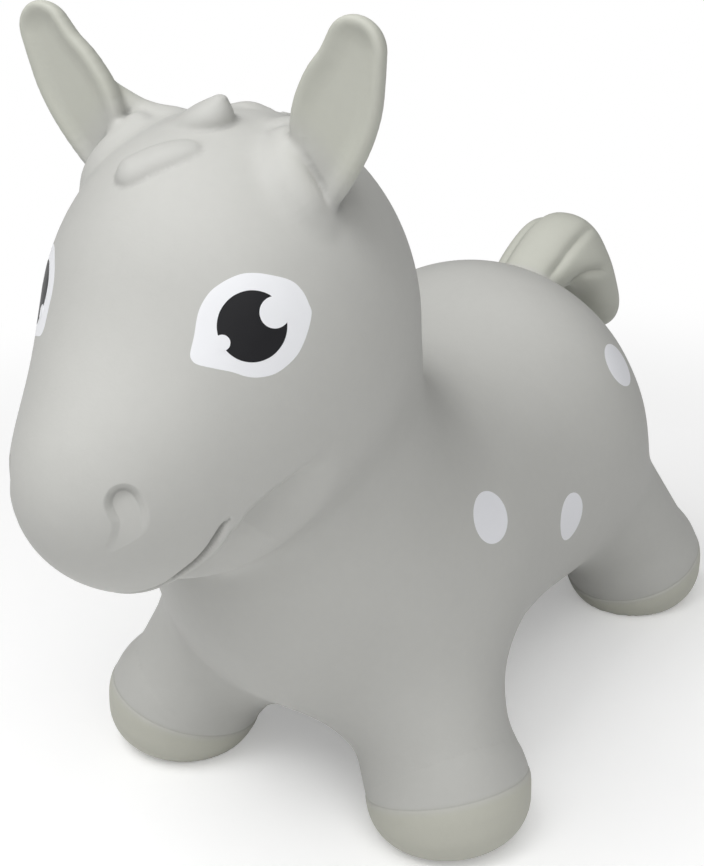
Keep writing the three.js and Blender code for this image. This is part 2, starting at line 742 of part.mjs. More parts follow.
addPiece('body_shell', geometryOf(bodyShell()), VINYL);
addPiece('head_shell', geometryOf(headShell()), VINYL);

const legSets = { front: legPieces(FRONT_LEG), hind: legPieces(HIND_LEG) };
for (const [end, pieces] of Object.entries(legSets)) {
  addPair((side) => `${end}_${side}_leg`, pieces.sleeve, VINYL);
  addPair((side) => `${end}_${side}_hoof`, pieces.hoof, VINYL_HOOF);
}

const headRoom = skullSkin(GAP);
const earSet = earPieces(headRoom);
addPair((side) => `${side}_ear`, earSet.ear, VINYL_EAR);
addPair((side) => `${side}_ear_collar`, earSet.collar, VINYL_EAR);

const tufts = {
  forelock_tuft: {
    pitch: FORELOCK_PITCH, side: FORELOCK_SIDE, turn: FORELOCK_TURN, sweep: FORELOCK_SWEEP,
    length: FORELOCK_LENGTH, width: FORELOCK_WIDTH, height: FORELOCK_HEIGHT,
  },
  crown_tuft: {
    pitch: CROWN_TUFT_PITCH, side: CROWN_TUFT_SIDE, turn: CROWN_TUFT_TURN, sweep: CROWN_TUFT_SWEEP,
    length: CROWN_TUFT_LENGTH, width: CROWN_TUFT_WIDTH, height: CROWN_TUFT_HEIGHT,
  },
  poll_tuft: {
    pitch: POLL_TUFT_PITCH, side: POLL_TUFT_SIDE, turn: POLL_TUFT_TURN, sweep: POLL_TUFT_SWEEP,
    length: POLL_TUFT_LENGTH, width: POLL_TUFT_WIDTH, height: POLL_TUFT_HEIGHT,
  },
  nape_tuft: {
    pitch: NAPE_TUFT_PITCH, side: NAPE_TUFT_SIDE, turn: NAPE_TUFT_TURN, sweep: NAPE_TUFT_SWEEP,
    length: NAPE_TUFT_LENGTH, width: NAPE_TUFT_WIDTH, height: NAPE_TUFT_HEIGHT,
  },
};
for (const [name, sizes] of Object.entries(tufts)) addPiece(name, geometryOf(tuft(sizes, headRoom)), VINYL);

addPiece('tail', geometryOf(tailPiece(torsoSkin(GAP))), VINYL_EAR);

addPair((side) => `${side}_eye_white`, film(EYE, eyeEdge, PRINT_OFF, EYE_SIDES, PRINT_RINGS), WHITE_INK);
addPiece('left_eye_pupil', geometryOf(pupil(1)), BLACK_INK);
addPiece('right_eye_pupil', mirrored(geometryOf(pupil(-1))), BLACK_INK);

addPair((side) => `${side}_shoulder_spot`, spot(SHOULDER_SPOT_Y, SHOULDER_SPOT_Z), WHITE_INK);
addPair((side) => `${side}_belly_spot`, spot(BELLY_SPOT_Y, BELLY_SPOT_Z), WHITE_INK);
addPair((side) => `${side}_hip_spot`, spot(HIP_SPOT_Y, HIP_SPOT_Z), WHITE_INK);

addPiece('valve_seat', geometryOf(valveSeat()), VALVE_VINYL);
addPiece('valve_plug', geometryOf(valvePlug()), VALVE_VINYL);

// The origin stays under the middle of the toy's length
const extent = new THREE.Box3().setFromObject(toy);
toy.position.y = -(extent.min.y + extent.max.y) / 2;

export default toy;
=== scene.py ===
"""A bouncy horse hopper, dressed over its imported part.

The toy is one air-filled skin: two eggs for the body, two for the head, a short neck, four splayed legs on
round hooves, cupped ears, tufts of mane and a tail. The skin is drawn as one distance field, cast as a mesh
and parted where the joints need it. Sizes are in millimetres in the part's frame, +X the toy's left, -Y its
front and +Z up, and every mesh is scaled to metres when it is finished.
"""

import logging
import math
from collections.abc import Callable
from dataclasses import dataclass
from enum import Enum

import bmesh
import bpy
import numpy as np
from mathutils import Matrix, Vector


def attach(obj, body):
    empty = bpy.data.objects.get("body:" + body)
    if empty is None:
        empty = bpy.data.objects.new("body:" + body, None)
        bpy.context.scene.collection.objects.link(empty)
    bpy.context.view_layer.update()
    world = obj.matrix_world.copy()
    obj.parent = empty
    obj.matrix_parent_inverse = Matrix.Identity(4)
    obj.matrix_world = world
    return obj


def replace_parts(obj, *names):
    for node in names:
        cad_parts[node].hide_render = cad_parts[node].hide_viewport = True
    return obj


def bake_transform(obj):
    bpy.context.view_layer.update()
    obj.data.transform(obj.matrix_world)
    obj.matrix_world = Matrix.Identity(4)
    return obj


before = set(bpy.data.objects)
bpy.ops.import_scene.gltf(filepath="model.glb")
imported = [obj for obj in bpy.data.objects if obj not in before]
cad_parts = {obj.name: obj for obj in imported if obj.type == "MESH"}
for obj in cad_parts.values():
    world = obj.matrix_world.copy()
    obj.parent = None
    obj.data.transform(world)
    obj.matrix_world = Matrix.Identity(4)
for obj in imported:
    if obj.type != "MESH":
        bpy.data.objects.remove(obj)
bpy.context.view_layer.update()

LOG = logging.getLogger("hopper")
MM = 0.001  # metres in a millimetre
FAR = 1000.0  # further away than any place on the toy
TINY = 1e-9  # keeps a division from failing
WELD = 1e-5  # vertices that are closer than this are one
THINNEST = 0.4  # the least radius in a run of balls
LEAST_FACING = 0.7  # a noted direction that is shorter was lost in a cut
NOISE_MIDDLE = 0.5  # the noise's mean
SCREEN_KNEE, SCREEN_SLOPE, SCREEN_LIFT, SCREEN_POWER = 0.04045, 12.92, 0.055, 2.4  # a screen's colour curve
MIX_FIRST, MIX_SECOND, MIX_RESULT = 6, 7, 2  # the Mix node's sockets for colours

Array = np.ndarray
Pair = tuple[float, float]
Triple = tuple[float, float, float]
Ball = tuple[float, float, float, float]
Colour = tuple[float, float, float]
Measure = Callable[[Array], Array]


class Side(Enum):
    """The toy's own left and right."""

    LEFT = 1
    RIGHT = -1

    @property
    def word(self) -> str:
        """The side's name as it stands in a piece's name."""
        return self.name.lower()

    def turn(self, place: Triple) -> Array:
        """A place on the left side, carried over to this side."""
        return np.array(place, float) * (self.value, 1, 1)

    def box(self, low: Triple, high: Triple) -> tuple[Triple, Triple]:
        """A box on the left side, carried over to this side."""
        ends = np.stack([self.turn(low), self.turn(high)])
        return tuple(ends.min(0)), tuple(ends.max(0))


def linear(red: float, green: float, blue: float) -> Colour:
    """A colour as a screen shows it, from 0 to 255, in the values that a shader takes.

    Args:
        red: Red from 0 to 255.
        green: Green from 0 to 255.
        blue: Blue from 0 to 255.

    Returns:
        The same colour in scene-linear values.
    """
    shares = (value / 255 for value in (red, green, blue))
    return tuple(
        s / SCREEN_SLOPE if s <= SCREEN_KNEE else ((s + SCREEN_LIFT) / (1 + SCREEN_LIFT)) ** SCREEN_POWER
        for s in shares
    )


def size_of(rows: Array) -> Array:
    """The length of each row."""
    return np.sqrt(np.einsum("ij,ij->i", rows, rows))


def unit(vector: Array) -> Array:
    """The vector at length one."""
    return vector / np.linalg.norm(vector)


def ramp(values: Array, low: float, high: float) -> Array:
    """A smooth rise from 0 at low to 1 at high.

    Args:
        values: Where to read the rise.
        low: The value at which it leaves 0.
        high: The value at which it reaches 1.

    Returns:
        The share of the rise for each value.
    """
    share = np.clip((values - low) / (high - low), 0, 1)
    return share * share * (3 - 2 * share)


def join(first: Array, second: Array, reach: float) -> Array:
    """Two fields run into each other with a fillet.

    Args:
        first: Distances to one form.
        second: Distances to the other.
        reach: How far apart two distances may be and still be filleted.

    Returns:
        Distances to the joined form.
    """
    share = np.maximum(reach - np.abs(first - second), 0) / reach
    return np.minimum(first, second) - share * share * reach / 4


def limb_field(points: Array, start: Array, end: Array, start_radius: float, end_radius: float) -> Array:
    """Distances to a round limb that tapers from one ball to another, in two or three dimensions.

    Args:
        points: Places to measure from.
        start: Middle of the first ball.
        end: Middle of the last ball.
        start_radius: Radius of the first ball.
        end_radius: Radius of the last ball.

    Returns:
        The distance of each place from the limb's skin.
    """
    along = end - start
    share = np.clip(((points - start) @ along) / (along @ along), 0, 1)
    offset = points - start - share[:, None] * along
    return size_of(offset) - (start_radius + (end_radius - start_radius) * share)


def drawn(knots: tuple[tuple[float, ...], ...], count: int) -> Array:
    """A smooth run through a few knots.

    Args:
        knots: The values that it passes through.
        count: How many stations it gets.

    Returns:
        One row for each station.
    """
    rows = np.array(knots, float)
    padded = np.vstack([2 * rows[0] - rows[1], rows, 2 * rows[-1] - rows[-2]])
    place = np.linspace(0, len(rows) - 1, count)
    index = np.minimum(place.astype(int), len(rows) - 2)
    share = (place - index)[:, None]
    before, start, end, after = (padded[index + i] for i in range(4))
    bend = 2 * before - 5 * start + 4 * end - after
    return start + 0.5 * share * (end - before + share * (bend + share * (3 * start - before - 3 * end + after)))


def chain_field(points: Array, balls: Array, fillet: float = 0.01) -> Array:
    """Distances to a run of balls that taper into each other, in two or three dimensions.

    Args:
        points: Places to measure from.
        balls: Middle and radius of each ball.
        fillet: How far the runs are filleted into each other.

    Returns:
        The distance of each place from the run's skin.
    """
    found = np.full(len(points), FAR)
    for first, second in zip(balls, balls[1:]):
        radii = (max(ball[-1], THINNEST) for ball in (first, second))
        found = join(found, limb_field(points, first[:-1], second[:-1], *radii), fillet)
    return found


def beside_line(points: Array, line: Array) -> tuple[Array, Array, Array]:
    """How points lie beside a line of many straight runs.

    Args:
        points: Places to measure from.
        line: The line's corners.

    Returns:
        The distance from the line, the share of the line that was passed, and the offset from it.
    """
    nearest = np.full(len(points), FAR)
    share = np.zeros(len(points))
    offset = np.zeros_like(points)
    for index, (start, end) in enumerate(zip(line, line[1:])):
        along = end - start
        part = np.clip(((points - start) @ along) / (along @ along), 0, 1)
        away = points - start - part[:, None] * along
        distance = size_of(away)
        closer = distance < nearest
        nearest = np.where(closer, distance, nearest)
        share = np.where(closer, (index + part) / (len(line) - 1), share)
        offset[closer] = away[closer]
    return nearest, share, offset


def box_mask(points: Array, low: Triple, high: Triple) -> Array:
    """Which points lie in a box."""
    return np.all((points > low) & (points < high), axis=1)


def left_half(points: Array) -> Array:
    """The points carried over to the toy's left half.

    Args:
        points: Places on both halves.

    Returns:
        The same places, with those of the right half mirrored.
    """
    half = points.copy()
    half[:, 0] = np.abs(half[:, 0])
    return half


class Rough:
    """The toy's forms as overlapping balls, before they are cast as one skin."""

    def __init__(self) -> None:
        """Starts empty, with one round ball to copy."""
        self.mesh = bmesh.new()
        self.ball = bpy.data.meshes.new("ball")
        ball = bmesh.new()
        bmesh.ops.create_icosphere(ball, subdivisions=3, radius=1)
        ball.to_mesh(self.ball)
        ball.free()

    def add(self, centre: Array, half: Triple, turn: Matrix | None = None) -> None:
        """Adds one stretched ball.

        Args:
            centre: Middle of the ball.
            half: Half sizes along its own axes.
            turn: Its own axes, or None where they are the part's.
        """
        copy = self.ball.copy()
        place = Matrix.Translation(Vector(centre))
        copy.transform(place @ (turn.to_4x4() if turn else Matrix()) @ Matrix.Diagonal((*half, 1)))
        self.mesh.from_mesh(copy)
        bpy.data.meshes.remove(copy)


@dataclass(frozen=True)
class Egg:
    """A blown egg, the main form of a body or a head."""

    centre: Triple
    half: Triple

    def field(self, points: Array) -> Array:
        """Distances to the egg's skin.

        Args:
            points: Places to measure from.

        Returns:
            The distance of each place, nearly true close to the skin.
        """
        offset = points - np.array(self.centre)
        half = np.array(self.half)
        near = size_of(offset / half) + TINY
        return near * (near - 1) / (size_of(offset / half**2) + TINY)

    def rough(self, rough: Rough) -> None:
        """Adds the egg to the rough form."""
        rough.add(np.array(self.centre), self.half)


@dataclass(frozen=True)
class Lock:
    """A run of balls joined into a lock of hair, flattened against the skin that it lies on."""

    balls: tuple[Ball, ...]
    lie: Triple = (0, 0, 1)
    flatness: float = 1.0
    blend: float = 2.5
    stations: int = 33
    margin: float = 10.0
    fillet: float = 0.01
    rough_stride: int = 4
    rough_least: float = 4.0

    def press(self) -> Array:
        """The stretch along the lie that makes the flattened lock round."""
        lie = unit(np.array(self.lie, float))
        return np.eye(3) + (self.flatness - 1) * np.outer(lie, lie)

    def field(self, points: Array) -> Array:
        """Distances to the lock's skin.

        Args:
            points: Places to measure from.

        Returns:
            The distance of each place near the lock, and FAR elsewhere.
        """
        press = self.press()
        balls = drawn(self.balls, self.stations)
        reach = balls[:, 3].max() + self.margin
        near = box_mask(points, balls[:, :3].min(0) - reach, balls[:, :3].max(0) + reach)
        balls[:, :3] = balls[:, :3] @ press
        found = np.full(len(points), FAR)
        found[near] = chain_field(points[near] @ press, balls, self.fillet) / math.sqrt(self.flatness)
        return found

    def rough(self, rough: Rough) -> None:
        """Adds the lock's balls to the rough form."""
        for x, y, z, radius in drawn(self.balls, self.stations)[::self.rough_stride]:
            rough.add(np.array((x, y, z)), (max(radius, self.rough_least),) * 3)


@dataclass(frozen=True)
class Tail:
    """A lock that arches off the rump, sweeps to the left and curls down, with grooves between its strands."""

    knots: tuple[Triple, ...] = (
        (0.0, 187.3, 225.2),
        (4.3, 205.8, 250.2),
        (14.2, 239.8, 265.7),
        (25.6, 263.8, 219.2),
        (28.5, 273.3, 197.7),
    )
    half_width: float = 24.0
    half_thickness: float = 17.2
    rounding: float = 0.25
    tip_from: float = 0.6
    tip_share: float = 0.7
    stations: int = 56
    blend: float = 4.0
    creases: tuple[tuple[Triple, ...], ...] = (
        (
            (35.5, 252.0, 270.0), (34.6, 239.3, 274.7), (32.1, 219.3, 267.9), (30.3, 211.3, 263.3),
            (28.7, 205.4, 258.3), (25.5, 197.9, 251.2), (21.0, 191.0, 244.0),
        ),
        (
            (48.0, 252.0, 238.0), (46.5, 241.7, 245.2), (44.5, 233.3, 247.1), (41.8, 226.7, 247.4),
            (38.9, 222.0, 246.2), (35.7, 219.3, 243.6), (32.3, 217.0, 240.3), (26.0, 213.0, 236.0),
        ),
    )
    grooves: tuple[tuple[Pair, ...], ...] = (
        ((0.16, 130), (0.24, 128), (0.38, 126), (0.55, 116), (0.75, 106)),
        ((0.3, 168), (0.45, 172), (0.6, 176), (0.78, 186)),
        ((0.5, 72), (0.62, 70), (0.8, 72)),
    )
    line_density: int = 3
    groove_depth: float = 1.3
    groove_width: float = 1.6
    groove_round: float = 0.3
    groove_fade: float = 0.25
    strand_depth: float = 2.2
    strand_width: float = 4.4
    near: float = 4.0
    fillet: float = 1.5
    inner: Lock = Lock(
        ((12, 202, 242, 12), (24, 224, 252, 15), (32, 243, 243, 14.5), (36, 258, 220, 9)), fillet=1.5
    )
    inner_blend: float = 7.0
    rough_least: float = 5.0
    low: Triple = (-50, 160, 165)
    high: Triple = (75, 305, 315)

    def sections(self) -> tuple[Array, Array, Array]:
        """How the tail runs.

        Returns:
            Its middle, its outward direction and its fullness at each station.
        """
        share = np.linspace(0, 1, self.stations)
        middle = drawn(self.knots, self.stations)
        outward = np.cross((1.0, 0.0, 0.0), np.gradient(middle, axis=0))
        outward /= size_of(outward)[:, None]
        full = np.clip(1 - (2 * share - 1) ** 2, 0, 1) ** self.rounding
        late = np.clip((share - self.tip_from) / (1 - self.tip_from), 0, 1) ** 2
        return middle, outward, full * (1 + (self.tip_share - 1) * late)

    def field(self, points: Array) -> Array:
        """Distances to the tail's plain form.

        Args:
            points: Places to measure from.

        Returns:
            The distance of each place from the tail and its inner strand.
        """
        squash = np.array((self.half_thickness / self.half_width, 1, 1))
        middle, _, full = self.sections()
        balls = np.column_stack([middle * squash, self.half_thickness * full])
        found = chain_field(points * squash, balls, self.fillet)
        return join(found, self.inner.field(points), self.inner_blend)

    def groove_lines(self) -> list[Array]:
        """Where the tail's skin is grooved.

        Returns:
            One line of places for each crease and each groove.
        """
        middle, outward, full = self.sections()
        lines = [drawn(crease, self.line_density * len(crease)) for crease in self.creases]
        for knots in self.grooves:
            run = drawn(knots, self.line_density * len(knots))
            at = run[:, 0] * (self.stations - 1)
            index = np.clip(at.astype(int), 0, self.stations - 2)
            part = (at - index)[:, None]
            core, out, size = (
                rows[index] * (1 - part) + rows[index + 1] * part for rows in (middle, outward, full[:, None])
            )
            angle = np.radians(run[:, 1:])
            side = self.half_width * np.cos(angle) * np.array((1.0, 0.0, 0.0))
            lines.append(core + size * (side + self.half_thickness * np.sin(angle) * out))
        return lines

    def dent(self, points: Array) -> Array:
        """How deep the grooves are at each point.

        Args:
            points: Places on the skin.

        Returns:
            The depth at each place, 0 away from the tail.
        """
        found = np.zeros(len(points))
        near = np.abs(self.field(points)) < self.near
        for line in self.groove_lines():
            nearest, share, _ = beside_line(points[near], line)
            ends = ramp(share, 0, self.groove_fade) * ramp(1 - share, 0, self.groove_fade)
            sharp = self.groove_depth * np.exp(-np.sqrt(nearest**2 + self.groove_round) / self.groove_width)
            soft = self.strand_depth * np.exp(-((nearest / self.strand_width) ** 2))
            found[near] = np.maximum(found[near], ends * (sharp + soft))
        return found

    def rough(self, rough: Rough) -> None:
        """Adds the tail to the rough form.

        Args:
            rough: The rough form.
        """
        for middle, _, full in zip(*self.sections()):
            radius = max(self.half_thickness * full, self.rough_least)
            rough.add(middle, (radius * self.half_width / self.half_thickness, radius, radius))
        self.inner.rough(rough)


@dataclass(frozen=True)
class Plane:
    """A flat cut through the skin. What lies along the normal is parted off."""

    origin: Triple
    normal: Triple

    def on(self, side: Side) -> "Plane":
        """The same cut on one side of the toy."""
        return Plane(tuple(side.turn(self.origin)), tuple(side.turn(self.normal)))

    def ahead(self, distance: float) -> Triple:
        """A place ahead of the cut, in metres."""
        place = np.array(self.origin) + distance * unit(np.array(self.normal))
        return tuple(place * MM)


@dataclass(frozen=True)
class Leg:
    """A splayed cone on a round hoof. The left one is drawn, and the right one mirrors it."""

    name: str
    root: Triple
    root_radius: float
    ankle_radius: float
    foot: Pair
    seam: Plane
    reach_low: Triple
    reach_high: Triple
    hoof_radius: float = 47.0
    hoof_height: float = 55.0
    hoof_edge: float = 24.0
    hoof_blend: float = 20.0
    tilt: float = 8.0
    sink: float = 3.0
    ankle_height: float = 43.0
    ring_height: float = 33.2
    ring_tilt: float = 20.0
    ring_depth: float = 0.35
    ring_width: float = 1.2
    ring_step: float = 0.5
    step_rise: Pair = (-1.0, 0.6)
    step_fall: Pair = (3, 16)
    squeeze: float = 43.0
    rough_shares: tuple[float, ...] = (0, 0.2, 0.4, 0.6, 0.8, 1)
    rough_rises: Triple = (14, 26, 38)
    rough_hoof: float = 16.0

    def axis(self, tilt: float) -> tuple[Array, Array]:
        """The hoof's middle at the floor and a line that leans from there towards the body.

        Args:
            tilt: How far the line leans, in degrees.

        Returns:
            The foot's place and the unit line.
        """
        foot = np.array((*self.foot, -self.sink))
        inward = np.array(self.root) - foot
        inward[2] = 0
        lean = math.radians(tilt)
        return foot, math.cos(lean) * np.array((0, 0, 1.0)) + math.sin(lean) * unit(inward)

    def past_ring(self, points: Array) -> Array:
        """How far above the fine line round the left hoof each point is.

        Args:
            points: Places on the left half.

        Returns:
            The height past the line, and FAR away from this leg.
        """
        foot, way = self.axis(self.ring_tilt)
        past = (points - foot) @ way - self.ring_height
        return np.where(box_mask(points, self.reach_low, self.reach_high), past, FAR)

    def field(self, points: Array) -> Array:
        """Distances to the left leg and its hoof.

        Args:
            points: Places to measure from.

        Returns:
            The distance of each place from their skin.
        """
        foot, axis = self.axis(self.tilt)
        ankle = foot + self.ankle_height * axis
        cone = limb_field(points, np.array(self.root), ankle, self.root_radius, self.ankle_radius)
        offset = points - foot
        rise = offset @ axis
        out = np.sqrt(np.maximum(np.einsum("ij,ij->i", offset, offset) - rise**2, 0))
        radial = out - (self.hoof_radius - self.hoof_edge)
        axial = np.abs(rise - self.hoof_height / 2) - (self.hoof_height / 2 - self.hoof_edge)
        drum = np.minimum(np.maximum(radial, axial), 0) - self.hoof_edge
        drum += np.hypot(np.maximum(radial, 0), np.maximum(axial, 0))
        return join(cone, drum, self.hoof_blend)

    def dent(self, points: Array) -> Array:
        """How deep the fine line and the step round the hoof's top are at each point.

        Args:
            points: Places on the left half.

        Returns:
            The depth at each place.
        """
        past = self.past_ring(points)
        step = self.ring_step * ramp(past, *self.step_rise) * (1 - ramp(past, *self.step_fall))
        return self.ring_depth * np.exp(-((past / self.ring_width) ** 2)) + step

    def rough(self, rough: Rough) -> None:
        """Adds both legs of this pair to the rough form.

        Args:
            rough: The rough form.
        """
        foot, axis = self.axis(self.tilt)
        ankle = foot + self.ankle_height * axis
        for side in Side:
            for share in self.rough_shares:
                centre = np.array(self.root) * (1 - share) + ankle * share
                radius = self.root_radius * (1 - share) + self.ankle_radius * share
                rough.add(side.turn(centre), (radius,) * 3)
            for rise in self.rough_rises:
                half = (self.hoof_radius, self.hoof_radius, self.rough_hoof)
                rough.add(side.turn(foot + rise * axis), half)


@dataclass(frozen=True)
class Ear:
    """A cupped leaf that leans out from the crown. The left one is drawn, and the right one mirrors it."""

    seat: Triple = (62.1, -143.3, 391.3)
    lean_out: float = 37.0
    lean_forward: float = 8.0
    face_turn: float = 2.0
    outline: tuple[Triple, ...] = (
        (3.0, -6.0, 11.0),
        (1.5, 7.0, 14.5),
        (-5.6, 26.0, 21.4),
        (-8.8, 42.0, 21.6),
        (-11.0, 56.0, 18.0),
        (-14.3, 68.5, 15.2),
    )
    stations: int = 21
    root_thickness: float = 7.5
    tip_thickness: float = 4.8
    length: float = 84.0
    cup: float = 5.0
    cup_width: float = 14.0
    cup_most: float = 1.15
    blend: float = 4.0
    rolls: tuple[tuple[Ball, ...], ...] = (
        ((-23, 3, -4, 7.5), (-16, 1, 4, 8), (-6, -1, 10, 8), (5, -4, 11.5, 7), (13, -9, 9, 4.5)),
        ((-17, 34, -9, 3.5), (-17.5, 22, -11.5, 6), (-20, 11, -14.5, 7), (-24, 4, -16, 7.5), (-30, -3, -18, 7)),
    )
    roll_stations: int = 17
    roll_fillet: float = 1.0
    roll_blend: float = 12.0
    rough_thickness: float = 9.0
    rough_swell: float = 1.5
    cut_height: float = 9.5
    collar: float = 16.0
    cut_normal: Triple = (0.736, -0.1, 0.67)
    low: Triple = (20, -220, 340)
    high: Triple = (160, -80, 520)

    def axes(self) -> tuple[Array, Array, Array]:
        """The leaf's own directions.

        Returns:
            Across to the outside, along the rise, and out of the cupped face.
        """
        out, forward, turn = (math.radians(a) for a in (self.lean_out, self.lean_forward, self.face_turn))
        rise = unit(np.array((math.tan(out), -math.tan(forward), 1.0)))
        across = unit(np.cross(rise, np.array((math.sin(turn), -math.cos(turn), 0.0))))
        return across, rise, np.cross(across, rise)

    def field(self, points: Array) -> Array:
        """Distances to the left ear.

        Args:
            points: Places on the left half.

        Returns:
            The distance of each place from the leaf's skin.
        """
        offset = points - np.array(self.seat)
        across, rise, face = self.axes()
        flat = np.stack([offset @ across, offset @ rise], axis=1)
        depth = offset @ face
        edge = chain_field(flat, drawn(self.outline, self.stations))
        share = np.clip(flat[:, 1] / self.length, 0, 1)
        thick = self.root_thickness + (self.tip_thickness - self.root_thickness) * share
        rim = np.clip(1 + edge / self.cup_width, 0, self.cup_most)
        middle = self.cup * (rim**2 - 1)
        return np.hypot(np.maximum(edge + thick, 0), depth - middle) - thick

    def roll_field(self, points: Array) -> Array:
        """Distances to the soft rolls of skin before and behind the left ear's root.

        Args:
            points: Places on the left half.

        Returns:
            The distance of each place from the nearer roll.
        """
        own = (points - np.array(self.seat)) @ np.stack(self.axes(), axis=1)
        fields = [chain_field(own, drawn(roll, self.roll_stations), self.roll_fillet) for roll in self.rolls]
        return join(*fields, self.blend)

    def rough(self, rough: Rough) -> None:
        """Adds both ears and the rolls at their roots to the rough form.

        Args:
            rough: The rough form.
        """
        across, rise, face = self.axes()
        seat = np.array(self.seat)
        rolls = np.vstack([drawn(roll, self.roll_stations) for roll in self.rolls])
        for side in Side:
            turn = Matrix([side.turn(v) for v in (across, rise, face)]).transposed()
            for u, v, radius in drawn(self.outline, self.stations):
                rough.add(side.turn(seat + u * across + v * rise), (radius, radius, self.rough_thickness), turn)
            for u, v, w, radius in rolls:
                middle = seat + u * across + v * rise + w * face
                rough.add(side.turn(middle), (radius + self.rough_swell,) * 3)

    def cut(self) -> Plane:
        """Where the left ear is parted from the head."""
        normal = unit(np.array(self.cut_normal))
        return Plane(tuple(np.array(self.seat) + self.cut_height * normal), tuple(normal))


@dataclass(frozen=True)
class Nostril:
    """A comma-shaped dent, deep under its top edge. The left one is drawn, and the right one mirrors it."""

    middle: Triple = (35.5, -264.5, 262.0)
    along: Triple = (0.75, 0.66, 0.0)
    comma: tuple[Triple, ...] = (
        (-0.2, 8.3, 8.2),
        (2.4, 0.5, 7.0),
        (0.6, -6.5, 6.2),
        (-3.8, -11.5, 3.8),
        (-8.4, -15.0, 1.8),
    )
    stations: int = 17
    depth: float = 4.4
    wall: Pair = (-0.8, 3.4)
    fillet: float = 2.5
    floor_share: float = 0.5
    floor_along: float = -0.02
    floor_rise: float = 0.038
    floor_level: float = 1.0
    floor_most: float = 1.15
    reach: float = 24.0

    def dent(self, points: Array) -> Array:
        """How deep the left nostril is at each point.

        Args:
            points: Places on the left half.

        Returns:
            The depth at each place.
        """
        offset = points - np.array(self.middle)
        flat = np.stack([offset @ unit(np.array(self.along)), offset[:, 2]], axis=1)
        edge = chain_field(flat, drawn(self.comma, self.stations), self.fillet)
        rise = self.floor_rise * (flat[:, 1] - self.floor_level)
        floor = self.floor_share + self.floor_along * flat[:, 0] + rise
        return self.depth * ramp(-edge, *self.wall) * np.clip(floor, 0, self.floor_most)


@dataclass(frozen=True)
class Mouth:
    """A groove that runs round under the muzzle from corner to corner, over a rounded lip that is undercut."""

    line: tuple[Triple, ...] = (
        (60.6, -222.4, 249.6),
        (58.7, -225.2, 247.1),
        (55.2, -228.2, 240.4),
        (51.8, -230.5, 234.8),
        (47.3, -233.7, 229.4),
        (42.0, -237.3, 224.4),
        (33.5, -241.0, 216.5),
        (22.0, -244.5, 211.0),
        (11.0, -246.5, 208.6),
        (0.0, -247.2, 207.8),
    )
    stations: int = 31
    below: Triple = (0.1, 0.8, -0.6)
    below_gain: float = 4.0
    groove: float = 2.8
    groove_width: float = 1.25
    groove_start: Pair = (0.0, 0.14)
    corner_share: float = 0.3
    lip_width: float = 7.2
    lip_narrow: float = 0.68
    lip_narrows: Pair = (10, 34)
    lip_swell: float = 2.0
    lip_swells: Pair = (0, 8)
    undercut: float = 16.0
    undercut_edge: Pair = (-0.6, 5.0)
    undercut_run: Pair = (1.0, 18.0)
    undercut_end: Pair = (20.0, 60.0)
    jaw_rise: float = 0.5
    jaw_run: Pair = (0, 18)
    chin_share: float = 0.35
    cheek: Pair = (20, 40)
    low: Triple = (-1, -290, 130)
    high: Triple = (110, -135, 290)

    def dent(self, points: Array) -> Array:
        """How deep the mouth is at each point.

        Args:
            points: Places on the left half.

        Returns:
            The depth at each place, below 0 where the lip swells.
        """
        nearest, share, offset = beside_line(points, drawn(self.line, self.stations))
        past = np.clip(self.below_gain * offset @ unit(np.array(self.below)), -nearest, nearest)
        corner = np.array(self.line[0])
        drop = corner[2] - points[:, 2]
        started = self.corner_share + (1 - self.corner_share) * ramp(share, *self.groove_start)
        deep = self.groove * np.exp(-((nearest / self.groove_width) ** 2)) * started
        lip = self.lip_width * (1 - self.lip_narrow * ramp(drop, *self.lip_narrows))
        swell = self.lip_swell * lip / self.lip_width
        deep -= swell * np.sin(np.pi * np.clip(past / lip, 0, 1)) * ramp(drop, *self.lip_swells)
        edge = past - lip
        under = (ramp(edge, *self.undercut_edge) + ramp(edge, *self.undercut_run)) / 2
        under *= 1 - ramp(edge, *self.undercut_end)
        jaw = drop + self.jaw_rise * np.maximum(points[:, 1] - corner[1], 0)
        side = self.chin_share + (1 - self.chin_share) * ramp(points[:, 0], *self.cheek)
        return deep + self.undercut * under * ramp(jaw, *self.jaw_run) * side

    def near(self, points: Array) -> Array:
        """How far each point is from the mouth's line.

        Args:
            points: Places on the left half.

        Returns:
            The distance of each place, and FAR away from the mouth.
        """
        found = np.full(len(points), FAR)
        close = box_mask(points, self.low, self.high)
        if close.any():
            found[close] = beside_line(points[close], drawn(self.line, self.stations))[0]
        return found


